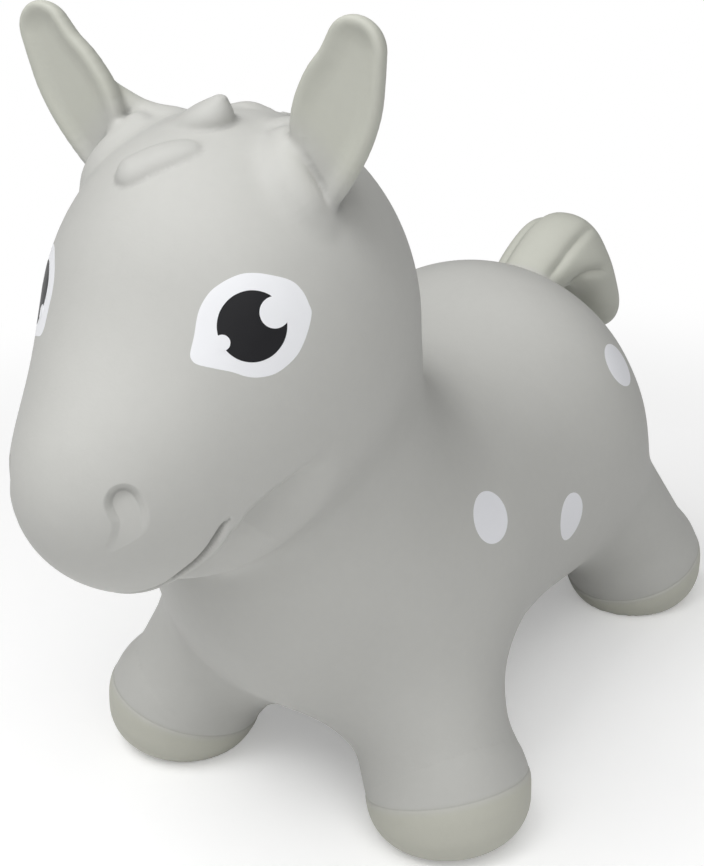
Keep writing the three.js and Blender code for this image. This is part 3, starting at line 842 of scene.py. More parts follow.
@dataclass(frozen=True)
class Skin:
    """The whole blown skin as one distance field, the dents pressed into it, and its rough form."""

    chest: Egg = Egg((0, -12, 142), (113, 145, 103))
    rump: Egg = Egg((0, 136.5, 157.5), (117.5, 89, 113.5))
    skull: Egg = Egg((0, -131, 306.5), (93.5, 104, 112.6))
    muzzle: Egg = Egg((0, -193.5, 261.5), (63, 87, 67))
    rough_waist: Egg = Egg((0, 60, 155), (108, 110, 98))
    neck_low: Triple = (0, -90, 203)
    neck_high: Triple = (0, -90, 264)
    neck_radius: float = 75.0
    rough_neck: tuple[float, ...] = (203, 223, 243, 264)
    torso_blend: float = 82.0
    leg_blend: float = 28.0
    neck_blend: float = 48.0
    head_blend: float = 35.0
    jaw_blend: float = 15.0
    neck_seam: Plane = Plane((0, -90, 221), (0, -0.423, 0.906))
    front: Leg = Leg(
        "front", (43, -50, 103), 63.5, 39.5, (101, -86),
        Plane((75.54, -70.2, 64), (0.359, -0.223, -0.906)), (2, -190, -20), (190, 40, 110),
    )
    hind: Leg = Leg(
        "hind", (48.5, 150, 145), 54.5, 44.0, (83, 235.5),
        Plane((70.84, 205.36, 72), (0.158, 0.392, -0.906)), (2, 110, -20), (190, 320, 140),
    )
    ear: Ear = Ear()
    nostril: Nostril = Nostril()
    mouth: Mouth = Mouth()
    tail: Tail = Tail()
    tufts: tuple[Lock, ...] = (
        Lock(
            ((-8, -186.6, 397.7, 10.6), (0, -180.6, 401.7, 10.4), (7, -175.6, 404.3, 9.2), (11.5, -172.6, 405.6, 7)),
            (0, -0.55, 0.83), 1.3, 1.4,
        ),
        Lock(
            ((-14, -151, 409, 8), (-3, -150, 411, 12), (6, -148.5, 417, 12), (12, -147, 426.2, 4.2)),
            (0, 0, 1), 1.4, 2.4,
        ),
        Lock(((-3, -123, 411.5, 8.5), (5, -117, 413, 9), (11, -112, 411.8, 7)), (0, 0.1, 1), 1.2, 1.6),
        Lock(((-9, -70, 389, 9), (-2, -70, 397, 8), (-1, -78, 405, 3.5)), (0, 0.5, 0.8), 1.0, 3.0),
    )
    tuft_low: Triple = (-45, -225, 360)
    tuft_high: Triple = (45, -30, 460)
    hoof_top: float = 90.0
    least_slope: float = 0.05
    relief_step: float = 0.12
    fold_step: float = 1.6
    fold_bend: Pair = (0.08, 0.5)
    groove_step: float = 0.8
    groove_bend: Pair = (0.15, 1.6)
    ear_from: Pair = (30, 380)
    ear_tone: Pair = (6, 30)
    tail_share: float = 0.6
    tail_tone: Pair = (2, 10)
    hoof_tone: Pair = (-5, 3)
    fine_mouth: Pair = (15, 9)
    fine_nostril: Pair = (25, 20)
    fine_front: float = -240.0
    fine_ring: Pair = (6.0, 2.6)
    fine_tail: float = 1.0
    fine_hair: float = 0.4

    def plain(self, points: Array) -> Array:
        """Distances to the skin without its ears, hair and dents.

        Args:
            points: Places to measure from.

        Returns:
            The distance of each place from the plain skin.
        """
        half = left_half(points)
        torso = join(self.chest.field(points), self.rump.field(points), self.torso_blend)
        legs = np.minimum(self.front.field(half), self.hind.field(half))
        body = np.maximum(join(torso, legs, self.leg_blend), -points[:, 2])
        ends = (np.array(end, float) for end in (self.neck_low, self.neck_high))
        neck = limb_field(points, *ends, self.neck_radius, self.neck_radius)
        head = join(self.skull.field(points), self.muzzle.field(points), self.head_blend)
        return join(join(body, neck, self.neck_blend), head, self.jaw_blend)

    def field(self, points: Array) -> Array:
        """Distances to the whole skin with its ears and hair, before anything is pressed into it.

        Args:
            points: Places to measure from.

        Returns:
            The distance of each place from the skin.
        """
        found = self.plain(points)
        half = left_half(points)
        near = box_mask(half, self.ear.low, self.ear.high)
        if near.any():
            found[near] = join(found[near], self.ear.roll_field(half[near]), self.ear.roll_blend)
            found[near] = join(found[near], self.ear.field(half[near]), self.ear.blend)
        near = box_mask(points, self.tuft_low, self.tuft_high)
        if near.any():
            for tuft in self.tufts:
                found[near] = join(found[near], tuft.field(points[near]), tuft.blend)
        near = box_mask(points, self.tail.low, self.tail.high)
        if near.any():
            found[near] = join(found[near], self.tail.field(points[near]), self.tail.blend)
        return found

    def relief(self, points: Array) -> Array:
        """How far the skin is pressed in at each point: nostrils, mouth, hoof lines and the tail's grooves.

        Args:
            points: Places on the skin.

        Returns:
            The depth at each place, below 0 where the skin swells.
        """
        found = np.zeros(len(points))
        half = left_half(points)
        low = points[:, 2] < self.hoof_top
        for mask, dent, rows in (
            (size_of(half - np.array(self.nostril.middle)) < self.nostril.reach, self.nostril.dent, half),
            (box_mask(half, self.mouth.low, self.mouth.high), self.mouth.dent, half),
            (low, self.front.dent, half),
            (low, self.hind.dent, half),
            (box_mask(points, self.tail.low, self.tail.high), self.tail.dent, points),
        ):
            if mask.any():
                found[mask] += dent(rows[mask])
        return found

    @staticmethod
    def slope(measure: Measure, points: Array, step: float = 0.25) -> Array:
        """A measure's gradient at each point.

        Args:
            measure: What is measured, such as the field or the relief.
            points: Places to read it.
            step: Half the distance between the readings.

        Returns:
            One gradient per point.
        """
        total = np.zeros_like(points)
        for corner in ((1, -1, -1), (-1, -1, 1), (-1, 1, -1), (1, 1, 1)):
            way = np.array(corner, float)
            total += measure(points + step * way)[:, None] * way
        return total / (4 * step)

    @staticmethod
    def bend(measure: Measure, points: Array, step: float) -> Array:
        """How a measure curves at each point, as the sum of its second differences.

        Args:
            measure: What is measured, such as the field or the relief.
            points: Places to read it.
            step: The distance between the readings.

        Returns:
            The curve at each point, below 0 in a fold or a groove.
        """
        total = -6 * measure(points)
        for axis in np.eye(3):
            total += measure(points + step * axis) + measure(points - step * axis)
        return total / step**2

    def settle(self, points: Array, rounds: int, stride: float = 4.0) -> Array:
        """Moves points onto the skin.

        Args:
            points: Places near the skin.
            rounds: How often each is moved.
            stride: The longest move in one round.

        Returns:
            The places on the skin.
        """
        for _ in range(rounds):
            slope = self.slope(self.field, points)
            steep = np.maximum(np.einsum("ij,ij->i", slope, slope), self.least_slope)
            move = -(self.field(points) / steep)[:, None] * slope
            far = np.maximum(size_of(move) / stride, 1)
            points = points + move / far[:, None]
        return points

    def pressed(self, points: Array) -> tuple[Array, Array]:
        """Presses the dents into settled points.

        Args:
            points: Places on the skin.

        Returns:
            The pressed places and the way that the skin faces there.
        """
        slope = self.slope(self.field, points)
        facing = slope / np.maximum(size_of(slope), TINY)[:, None]
        lean = self.slope(self.relief, points, self.relief_step)
        lean -= np.einsum("ij,ij->i", lean, facing)[:, None] * facing
        turned = facing + lean
        return points - self.relief(points)[:, None] * facing, turned / size_of(turned)[:, None]

    def crease(self, points: Array) -> Array:
        """How sharply the skin is folded in at each point.

        Args:
            points: Places on the skin.

        Returns:
            A share for each place, from 0 on open skin to 1 in a crease.
        """
        # the vinyl darkens its colour by this share, as painted shade in folds and grooves
        folds = ramp(-self.bend(self.field, points, self.fold_step), *self.fold_bend)
        grooves = ramp(-self.bend(self.relief, points, self.groove_step), *self.groove_bend)
        return np.maximum(folds, grooves)

    def accent(self, points: Array) -> Array:
        """Where the skin takes its second tone: on the ears, the tail and the hooves.

        Args:
            points: Places on the skin.

        Returns:
            The second tone's share at each place.
        """
        half = left_half(points)
        base = self.plain(points)
        ears = (half[:, 0] > self.ear_from[0]) & (half[:, 2] > self.ear_from[1])
        found = ramp(base, *self.ear_tone) * ears
        near = box_mask(points, self.tail.low, self.tail.high)
        proud = base[near] - self.tail_share * self.tail.field(points[near])
        found[near] = np.maximum(found[near], ramp(proud, *self.tail_tone))
        for leg in (self.front, self.hind):
            found = np.maximum(found, 1 - ramp(leg.past_ring(half), *self.hoof_tone))
        return found

    def fine(self, points: Array, level: int) -> Array:
        """Which points lie where the skin has fine forms.

        Args:
            points: Places on the skin.
            level: 0 for where it is divided once, 1 for where it is divided again.

        Returns:
            True for each such point.
        """
        half = left_half(points)
        found = self.mouth.near(half) < self.fine_mouth[level]
        away = size_of(half - np.array(self.nostril.middle))
        found |= (away < self.fine_nostril[level]) & (half[:, 1] < self.fine_front)
        for leg in (self.front, self.hind):
            found |= np.abs(leg.past_ring(half)) < self.fine_ring[level]
        if level == 0:
            near = box_mask(points, self.tail.low, self.tail.high)
            found[near] |= self.tail.field(points[near]) < self.fine_tail
            near = box_mask(half, (0, *self.tuft_low[1:]), self.ear.high)
            found |= near & (self.plain(points) > self.fine_hair)
        return found

    def rough_mesh(self) -> bmesh.types.BMesh:
        """The toy's forms, each of which has to be in the rough form too, or its skin can't settle.

        Returns:
            Overlapping balls.
        """
        rough = Rough()
        for form in (self.chest, self.rump, self.skull, self.muzzle, self.rough_waist):
            form.rough(rough)
        for height in self.rough_neck:
            rough.add(np.array((*self.neck_low[:2], height)), (self.neck_radius,) * 3)
        for form in (self.front, self.hind, self.ear, self.tail, *self.tufts):
            form.rough(rough)
        return rough.mesh


def remeshed(mesh: bmesh.types.BMesh, voxel: float) -> bpy.types.Mesh:
    """The form's outside as one even mesh.

    Args:
        mesh: A form of overlapping closed shells. It is freed.
        voxel: The size of the new mesh's faces.

    Returns:
        The new mesh.
    """
    data = bpy.data.meshes.new("rough")
    mesh.to_mesh(data)
    mesh.free()
    holder = bpy.data.objects.new("rough", data)
    bpy.context.scene.collection.objects.link(holder)
    modifier = holder.modifiers.new("even", "REMESH")
    modifier.mode, modifier.voxel_size, modifier.adaptivity = "VOXEL", voxel, 0
    graph = bpy.context.evaluated_depsgraph_get()
    even = bpy.data.meshes.new_from_object(holder.evaluated_get(graph))
    bpy.data.objects.remove(holder)
    bpy.data.meshes.remove(data)
    return even


def read_rows(items: bpy.types.bpy_prop_collection, word: str, width: int, kind: type) -> Array:
    """One value of every item in a mesh.

    Args:
        items: The mesh's vertices, edges, corners or faces, or an attribute's values.
        word: The value's name.
        width: How many numbers it has.
        kind: The type of its numbers.

    Returns:
        One row for each item.
    """
    flat = np.empty(len(items) * width, kind)
    items.foreach_get(word, flat)
    return flat.reshape(-1, width)


def places(mesh: bpy.types.Mesh) -> Array:
    """The mesh's vertices as rows."""
    return read_rows(mesh.vertices, "co", 3, np.float32).astype(float)


def put_places(mesh: bpy.types.Mesh, points: Array) -> None:
    """Moves the mesh's vertices."""
    mesh.vertices.foreach_set("co", points.astype(np.float32).ravel())
    mesh.update()


def evened(points: Array, edges: Array, share: float) -> Array:
    """Points drawn towards the middle of their neighbours.

    Args:
        points: The mesh's vertices.
        edges: Its edges as pairs of indices.
        share: How far each goes.

    Returns:
        The moved vertices.
    """
    count = np.bincount(edges.ravel(), minlength=len(points))[:, None]
    total = np.stack([
        np.bincount(edges[:, 0], points[edges[:, 1], i], len(points))
        + np.bincount(edges[:, 1], points[edges[:, 0], i], len(points))
        for i in range(3)
    ], axis=1)
    return points + share * (total / np.maximum(count, 1) - points)


def mesh_edges(mesh: bpy.types.Mesh) -> Array:
    """The mesh's edges as pairs of indices."""
    return read_rows(mesh.edges, "vertices", 2, np.int32)


@dataclass
class Casting:
    """Casts the skin as one mesh and parts it into the body, the head, the legs and the ears."""

    skin: Skin
    rough_voxel: float = 3.2
    rough_rounds: int = 4
    rough_even: float = 0.5
    voxel: float = 2.25
    rounds: int = 1
    even: float = 0.3
    last_rounds: int = 2
    levels: int = 2
    fine_stride: float = 1.0
    whole: bmesh.types.BMesh | None = None

    def shell(self, mesh: bmesh.types.BMesh, voxel: float, rounds: int, share: float) -> bmesh.types.BMesh:
        """Makes one even shell of a form and settles it on the skin.

        Args:
            mesh: The form. It is freed.
            voxel: The size of the shell's faces.
            rounds: How often its vertices are settled and evened out.
            share: How far they are evened out each time.

        Returns:
            The settled shell.
        """
        data = remeshed(mesh, voxel)
        points, edges = places(data), mesh_edges(data)
        for _ in range(rounds):
            points = evened(self.skin.settle(points, 1), edges, share)
        put_places(data, self.skin.settle(points, self.last_rounds))
        settled = bmesh.new()
        settled.from_mesh(data)
        bpy.data.meshes.remove(data)
        return settled

    def cast(self) -> None:
        """Casts the whole skin, divides it where it has fine forms and presses its dents in."""
        coarse = self.shell(self.skin.rough_mesh(), self.rough_voxel, self.rough_rounds, self.rough_even)
        self.whole = self.shell(coarse, self.voxel, self.rounds, self.even)
        for level in range(self.levels):
            self.divide(level)
        self.press()
        LOG.info("skin cast with %d faces", len(self.whole.faces))

    def places(self) -> Array:
        """The cast skin's vertices as rows."""
        return np.array([vert.co for vert in self.whole.verts])

    def divide(self, level: int) -> None:
        """Divides the faces where the skin has fine forms, and settles what is new.

        Args:
            level: 0 for the first division, 1 for the second.
        """
        fine = self.skin.fine(self.places(), level)
        self.whole.verts.index_update()
        edges = [edge for edge in self.whole.edges if fine[edge.verts[0].index] and fine[edge.verts[1].index]]
        bmesh.ops.subdivide_edges(self.whole, edges=edges, cuts=1, use_grid_fill=True)
        points = self.places()
        fine = self.skin.fine(points, level)
        points[fine] = self.skin.settle(points[fine], self.last_rounds, self.fine_stride)
        for vert, place in zip(self.whole.verts, points):
            vert.co = place
        self.whole.verts.index_update()

    def press(self) -> None:
        """Presses the dents in, and notes on each vertex how it faces, its crease for painted shade and its accent.
        """
        points = self.places()
        pressed, facing = self.skin.pressed(points)
        layers = self.whole.verts.layers
        lie = layers.float_vector.new("lie")
        crease, accent = layers.float.new("crease"), layers.float.new("accent")
        self.whole.faces.layers.int.new("cap")
        notes = zip(self.whole.verts, pressed, facing, self.skin.crease(points), self.skin.accent(points))
        for vert, place, way, fold, tone in notes:
            vert.co, vert[lie], vert[crease], vert[accent] = place, way, fold, tone

    @staticmethod
    def near(mesh: bmesh.types.BMesh, low: Triple, high: Triple) -> list:
        """What of a mesh lies in a box.

        Args:
            mesh: The mesh.
            low: The box's lowest corner.
            high: The box's highest corner.

        Returns:
            The vertices, edges and faces that lie in it.
        """
        points = np.array([vert.co for vert in mesh.verts])
        inside = box_mask(points, low, high)
        for vert, kept in zip(mesh.verts, inside):
            vert.tag = bool(kept)
        verts = [vert for vert in mesh.verts if vert.tag]
        edges = [edge for edge in mesh.edges if edge.verts[0].tag and edge.verts[1].tag]
        faces = [face for face in mesh.faces if all(vert.tag for vert in face.verts)]
        return [*verts, *edges, *faces]

    @classmethod
    def part(
        cls, mesh: bmesh.types.BMesh, plane: Plane, low: Triple, high: Triple
    ) -> bmesh.types.BMesh:
        """Parts off what lies ahead of a plane inside a box.

        Args:
            mesh: The mesh to cut. It keeps what lies behind the plane, and what lies outside the box.
            plane: The cut.
            low: The box's lowest corner.
            high: The box's highest corner.

        Returns:
            What was parted off.
        """
        piece = mesh.copy()
        outside = set(piece.verts) - {v for v in cls.near(piece, low, high) if isinstance(v, bmesh.types.BMVert)}
        bmesh.ops.delete(piece, geom=list(outside), context="VERTS")
        cut = dict(dist=WELD, plane_co=plane.origin, plane_no=plane.normal)
        every = [*piece.verts, *piece.edges, *piece.faces]
        bmesh.ops.bisect_plane(piece, geom=every, clear_inner=True, **cut)
        bmesh.ops.bisect_plane(mesh, geom=cls.near(mesh, low, high), clear_outer=True, **cut)
        return piece


def capped(mesh: bmesh.types.BMesh) -> bmesh.types.BMesh:
    """Closes a mesh's openings with flat caps, which a face layer names.

    Args:
        mesh: The open mesh.

    Returns:
        The same mesh, closed.
    """
    layer = mesh.faces.layers.int["cap"]
    rim = [edge for edge in mesh.edges if edge.is_boundary]
    caps = bmesh.ops.holes_fill(mesh, edges=rim, sides=0)["faces"]
    for face in bmesh.ops.triangulate(mesh, faces=caps)["faces"]:
        face[layer] = 1
    bmesh.ops.recalc_face_normals(mesh, faces=mesh.faces[:])
    return mesh


def finish_mesh(mesh: bmesh.types.BMesh, name: str, material: bpy.types.Material) -> bpy.types.Object:
    """Makes a finished piece, in metres at the origin.

    Args:
        mesh: The piece in millimetres. It is freed.
        name: The piece's name.
        material: Its finish.

    Returns:
        The piece.
    """
    bmesh.ops.scale(mesh, vec=(MM, MM, MM), verts=mesh.verts[:])
    for face in mesh.faces:
        face.smooth = True
    data = bpy.data.meshes.new(name)
    mesh.to_mesh(data)
    mesh.free()
    data.materials.append(material)
    piece = bpy.data.objects.new(name, data)
    bpy.context.scene.collection.objects.link(piece)
    return piece


def finish_skin(mesh: bmesh.types.BMesh, name: str, material: bpy.types.Material) -> bpy.types.Object:
    """Makes a piece of the skin, shaded as the whole skin curves so that no seam shows.

    Args:
        mesh: The parted piece in millimetres. It is closed, and freed.
        name: The piece's name.
        material: Its finish.

    Returns:
        The piece.
    """
    piece = finish_mesh(capped(mesh), name, material)
    data = piece.data
    facing = read_rows(data.attributes["lie"].data, "vector", 3, np.float32)
    lost = size_of(facing) < LEAST_FACING
    facing[lost] = read_rows(data.vertices, "normal", 3, np.float32)[lost]
    shading = facing[read_rows(data.loops, "vertex_index", 1, np.int32)[:, 0]]
    caps = read_rows(data.attributes["cap"].data, "value", 1, np.int32)[:, 0]
    for index in np.nonzero(caps)[0]:
        face = data.polygons[int(index)]
        shading[face.loop_start:face.loop_start + face.loop_total] = face.normal
    data.normals_split_custom_set(shading.tolist())
    for word in ("cap", "lie"):
        data.attributes.remove(data.attributes[word])
    return piece


class NodeSheet:
    """Places nodes in one tree and joins them."""

    def __init__(self, tree: bpy.types.NodeTree) -> None:
        """Starts on an empty tree."""
        self.tree = tree
        tree.nodes.clear()

    def feed(self, socket: bpy.types.NodeSocket, value: object) -> None:
        """Joins a socket to another, or sets its own value.

        Args:
            socket: The input to feed.
            value: Another node's output, a number or a colour.
        """
        if isinstance(value, bpy.types.NodeSocket):
            self.tree.links.new(value, socket)
        elif socket.type == "RGBA" and len(value) == 3:
            socket.default_value = (*value, 1)
        else:
            socket.default_value = value

    def node(self, kind: str, settings: dict | None = None, **inputs: object) -> bpy.types.Node:
        """Adds a node.

        Args:
            kind: The node's type, without its ShaderNode prefix where it has one.
            settings: Properties of the node itself.
            inputs: Values or sockets for its inputs, with _ for a space in a name.

        Returns:
            The node.
        """
        made = self.tree.nodes.new(kind if kind.startswith("Node") else f"ShaderNode{kind}")
        for name, value in (settings or {}).items():
            setattr(made, name, value)
        for name, value in inputs.items():
            self.feed(made.inputs[name.replace("_", " ")], value)
        return made

    def math(self, operation: str, *values: object) -> bpy.types.NodeSocket:
        """The result of one sum.

        Args:
            operation: What is done with the values.
            values: Two or three numbers or sockets.

        Returns:
            The socket that gives it.
        """
        made = self.node("Math", {"operation": operation})
        for socket, value in zip(made.inputs, values):
            self.feed(socket, value)
        return made.outputs[0]

    def mix(self, share: object, first: object, second: object, way: str = "MIX") -> bpy.types.NodeSocket:
        """Two colours mixed.

        Args:
            share: How much of the second colour is mixed in.
            first: The first colour.
            second: The second colour.
            way: How they are mixed.

        Returns:
            The socket that gives the colour.
        """
        made = self.node("Mix", {"data_type": "RGBA", "blend_type": way})
        for index, value in ((0, share), (MIX_FIRST, first), (MIX_SECOND, second)):
            self.feed(made.inputs[index], value)
        return made.outputs[MIX_RESULT]

    def tinted(self, colour: object, tone: bpy.types.NodeSocket) -> bpy.types.NodeSocket:
        """A colour made lighter or darker by a tone round 1."""
        tint = self.node("CombineColor", Red=tone, Green=tone, Blue=tone).outputs[0]
        return self.mix(1.0, colour, tint, "MULTIPLY")

    def noise(self, scale: float, detail: float, rough: float = 0.5) -> bpy.types.NodeSocket:
        """Noise on the piece's own coordinates.

        Args:
            scale: How many cells a metre has.
            detail: How many finer layers it gets.
            rough: How strong the finer layers are.

        Returns:
            The socket that gives the noise.
        """
        place = self.node("TexCoord").outputs["Object"]
        made = self.node("TexNoise", Vector=place, Scale=scale, Detail=detail, Roughness=rough)
        return made.outputs[0]


def blank_material(name: str) -> tuple[bpy.types.Material, NodeSheet]:
    """A new material.

    Args:
        name: Its name.

    Returns:
        The material and its empty sheet of nodes.
    """
    made = bpy.data.materials.new(name)
    made.use_nodes = True
    return made, NodeSheet(made.node_tree)


@dataclass(frozen=True)
class Surface:
    """The uneven bloom, the fine moulded grain and the painted shade in creases that all of the toy's vinyl shares.
    """

    name: str = "vinyl_surface"
    takes: tuple[tuple[str, str], ...] = (
        ("Colour", "Color"), ("Accent Colour", "Color"), ("Accent", "Float"), ("Crease", "Float"), ("Gloss", "Float"),
    )
    gives: tuple[tuple[str, str], ...] = (("Colour", "Color"), ("Roughness", "Float"), ("Height", "Float"))
    cloud: Triple = (15.0, 4, 0.6)
    cloud_tone: float = 0.11
    cloud_rough: float = 0.22
    speck: Pair = (210.0, 3)
    speck_tone: float = 0.035
    speck_height: float = 0.8
    grain: Pair = (620.0, 2)
    # painted shade: the colour is multiplied by this in folds and grooves, where shade falls
    crease_painted_shade: float = 0.74
    crease_rough: float = 0.12

    def group(self) -> bpy.types.NodeTree:
        """The shared node group, built once.

        Returns:
            The group.
        """
        found = bpy.data.node_groups.get(self.name)
        if found:
            return found
        tree = bpy.data.node_groups.new(self.name, "ShaderNodeTree")
        sheet = NodeSheet(tree)
        for way, sockets in (("INPUT", self.takes), ("OUTPUT", self.gives)):
            for name, kind in sockets:
                tree.interface.new_socket(name, in_out=way, socket_type=f"NodeSocket{kind}")
        given = sheet.node("NodeGroupInput").outputs
        cloud = sheet.math("SUBTRACT", sheet.noise(*self.cloud), NOISE_MIDDLE)
        speck = sheet.math("SUBTRACT", sheet.noise(*self.speck), NOISE_MIDDLE)
        grain = sheet.noise(*self.grain)
        tone = sheet.math("MULTIPLY_ADD", cloud, self.cloud_tone, 1.0)
        tone = sheet.math("ADD", tone, sheet.math("MULTIPLY", speck, self.speck_tone))
        colour = sheet.mix(given["Accent"], given["Colour"], given["Accent Colour"])
        # painted shade: the colour darkened where the crease share is high
        painted_shade_colour = sheet.mix(1.0, colour, (self.crease_painted_shade,) * 3, "MULTIPLY")
        colour = sheet.tinted(sheet.mix(given["Crease"], colour, painted_shade_colour), tone)
        rough = sheet.math("ADD", given["Gloss"], sheet.math("MULTIPLY", cloud, self.cloud_rough))
        rough = sheet.math("ADD", rough, sheet.math("MULTIPLY", given["Crease"], self.crease_rough))
        height = sheet.math("ADD", grain, sheet.math("MULTIPLY", speck, self.speck_height))
        out = sheet.node("NodeGroupOutput")
        for name, value in (("Colour", colour), ("Roughness", rough), ("Height", height)):
            sheet.feed(out.inputs[name], value)
        return tree


@dataclass(frozen=True)
class Vinyl:
    """Soft matt vinyl with a second tone where the piece's accent says, and painted shade where its crease says."""

    name: str
    colour: Colour
    accent: Colour
    roughness: float = 0.56
    specular: float = 0.32
    bump: float = 0.10
    bump_size: float = 0.0005

    def material(self) -> bpy.types.Material:
        """The finish as a material.

        Returns:
            The material.
        """
        made, sheet = blank_material(self.name)
        surface = sheet.node("Group", {"node_tree": Surface().group()}, Colour=self.colour, Gloss=self.roughness)
        sheet.feed(surface.inputs["Accent Colour"], self.accent)
        for name, word in (("Accent", "accent"), ("Crease", "crease")):
            mask = sheet.node("Attribute", {"attribute_name": word, "attribute_type": "GEOMETRY"})
            sheet.feed(surface.inputs[name], mask.outputs["Fac"])
        bump = sheet.node("Bump", Strength=self.bump, Distance=self.bump_size, Height=surface.outputs["Height"])
        shader = sheet.node("BsdfPrincipled", Base_Color=surface.outputs["Colour"], Normal=bump.outputs[0])
        sheet.feed(shader.inputs["Roughness"], surface.outputs["Roughness"])
        sheet.feed(shader.inputs["Specular IOR Level"], self.specular)
        sheet.node("OutputMaterial", Surface=shader.outputs[0])
        return made


@dataclass(frozen=True)
class Ink:
    """A printed ink, a little uneven, with the vinyl's grain showing through."""

    name: str
    colour: Colour
    roughness: float = 0.4
    uneven: float = 0.05
    specular: float = 0.4
    cloud: Triple = (90.0, 4, 0.6)
    cloud_rough: float = 0.25
    speck: Pair = (900.0, 2)
    bump: float = 0.05
    bump_size: float = 0.0004

    def material(self) -> bpy.types.Material:
        """The finish as a material.

        Returns:
            The material.
        """
        made, sheet = blank_material(self.name)
        cloud = sheet.math("SUBTRACT", sheet.noise(*self.cloud), NOISE_MIDDLE)
        colour = sheet.tinted(self.colour, sheet.math("MULTIPLY_ADD", cloud, self.uneven, 1.0))
        rough = sheet.math("MULTIPLY_ADD", cloud, self.cloud_rough, self.roughness)
        speck = sheet.noise(*self.speck)
        bump = sheet.node("Bump", Strength=self.bump, Distance=self.bump_size, Height=speck)
        shader = sheet.node("BsdfPrincipled", Base_Color=colour, Roughness=rough, Normal=bump.outputs[0])
        sheet.feed(shader.inputs["Specular IOR Level"], self.specular)
        sheet.node("OutputMaterial", Surface=shader.outputs[0])
        return made


@dataclass(frozen=True)
class Finishes:
    """The toy's finishes."""

    body: Vinyl = Vinyl("pale_vinyl", linear(194, 194, 190), linear(196, 197, 187))
    hoof: Vinyl = Vinyl("hoof_vinyl", linear(194, 194, 190), linear(194, 194, 183))
    valve: Vinyl = Vinyl("valve_vinyl", linear(190, 190, 187), linear(178, 178, 174), 0.42)
    white: Ink = Ink("white_ink", linear(241, 242, 245), 0.42, 0.02)
    spot: Ink = Ink("spot_ink", linear(241, 242, 246), 0.46, 0.02)
    black: Ink = Ink("black_ink", linear(30, 30, 33), 0.42, 0.25, 0.25)


@dataclass
class Hide:
    """The skin's pieces: the body with its tail, the head with its mane, four legs and two ears."""

    skin: Skin
    finishes: Finishes

    @staticmethod
    def add(piece: bpy.types.Object, slot: str, *nodes: str) -> bpy.types.Object:
        """Hides the nodes that a piece stands for, and logs its faces.

        Args:
            piece: The piece.
            slot: Not used.
            nodes: The nodes that it stands for.

        Returns:
            The same piece.
        """
        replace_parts(piece, *nodes)
        LOG.info("%s: %d faces", piece.name, len(piece.data.polygons))
        return piece

    def build(self) -> None:
        """Casts the skin, parts it and dresses each piece."""
        casting = Casting(self.skin)
        casting.cast()
        everywhere = ((-FAR,) * 3, (FAR,) * 3)
        torso = casting.whole
        head = casting.part(torso, self.skin.neck_seam, *everywhere)
        body_look = self.finishes.body.material()
        hoof_look = self.finishes.hoof.material()
        for leg in (self.skin.front, self.skin.hind):
            for side in Side:
                self.build_leg(casting, torso, leg, side, hoof_look)
        for side in Side:
            self.build_ear(casting, head, side, body_look)
        Valve(self.finishes).open_pit(torso)
        body = finish_skin(torso, "body_skin", body_look)
        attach(self.add(body, "vinyl", "body_shell", "tail"), "body")
        crown = finish_skin(head, "head_skin", body_look)
        tufts = ("forelock_tuft", "crown_tuft", "poll_tuft", "nape_tuft")
        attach(self.add(crown, "vinyl", "head_shell", *tufts), "body")

    def build_leg(
        self, casting: Casting, torso: bmesh.types.BMesh, leg: Leg, side: Side, look: bpy.types.Material
    ) -> None:
        """Parts off one leg with its hoof.

        Args:
            casting: The cast skin.
            torso: The body that the leg is parted from.
            leg: The pair that it belongs to.
            side: Which of the pair it is.
            look: Its finish.
        """
        name = f"{leg.name}_{side.word}"
        seam = leg.seam.on(side)
        part = casting.part(torso, seam, *side.box(leg.reach_low, leg.reach_high))
        piece = finish_skin(part, f"{name}_leg_skin", look)
        self.add(piece, "hoof_vinyl", f"{name}_leg", f"{name}_hoof")
        seam.ahead(0)
        seam.ahead(leg.squeeze)
        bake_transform(piece)

    def build_ear(
        self, casting: Casting, head: bmesh.types.BMesh, side: Side, look: bpy.types.Material
    ) -> None:
        """Parts off one ear.

        Args:
            casting: The cast skin.
            head: The head that the ear is parted from.
            side: Which ear it is.
            look: Its finish.
        """
        ear, name = self.skin.ear, f"{side.word}_ear"
        cut = ear.cut().on(side)
        part = casting.part(head, cut, *side.box(ear.low, ear.high))
        piece = finish_skin(part, f"{name}_skin", look)
        self.add(piece, "ear_vinyl", name, f"{name}_collar")
        cut.ahead(0)
        cut.ahead(ear.collar)
        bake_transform(piece)


@dataclass(frozen=True)
class Seat:
    """A place on the skin with the directions that a print is drawn in."""

    place: Array
    normal: Array
    along: Array
    upward: Array

    @classmethod
    def on(
        cls, skin: Skin, start: Triple, way: Triple, rounds: int = 60, stride: float = 0.9, step: float = 0.5
    ) -> "Seat":
        """Finds where a line from inside the toy leaves the skin.

        Args:
            skin: The skin.
            start: A place inside the toy.
            way: The line's direction.
            rounds: How often the place is moved along the line.
            stride: The share of the skin's distance that it is moved each time.
            step: How far to each side the skin's slope is read.

        Returns:
            The seat there.
        """
        place, line = np.array([start], float), unit(np.array(way, float))
        for _ in range(rounds):
            place = place - skin.plain(place)[:, None] * line * stride
        rows = step * np.eye(3)
        normal = unit(np.array([(skin.plain(place + row) - skin.plain(place - row))[0] for row in rows]))
        along = unit(np.cross((0, 0, 1), normal))
        return cls(place[0], normal, along, np.cross(normal, along))


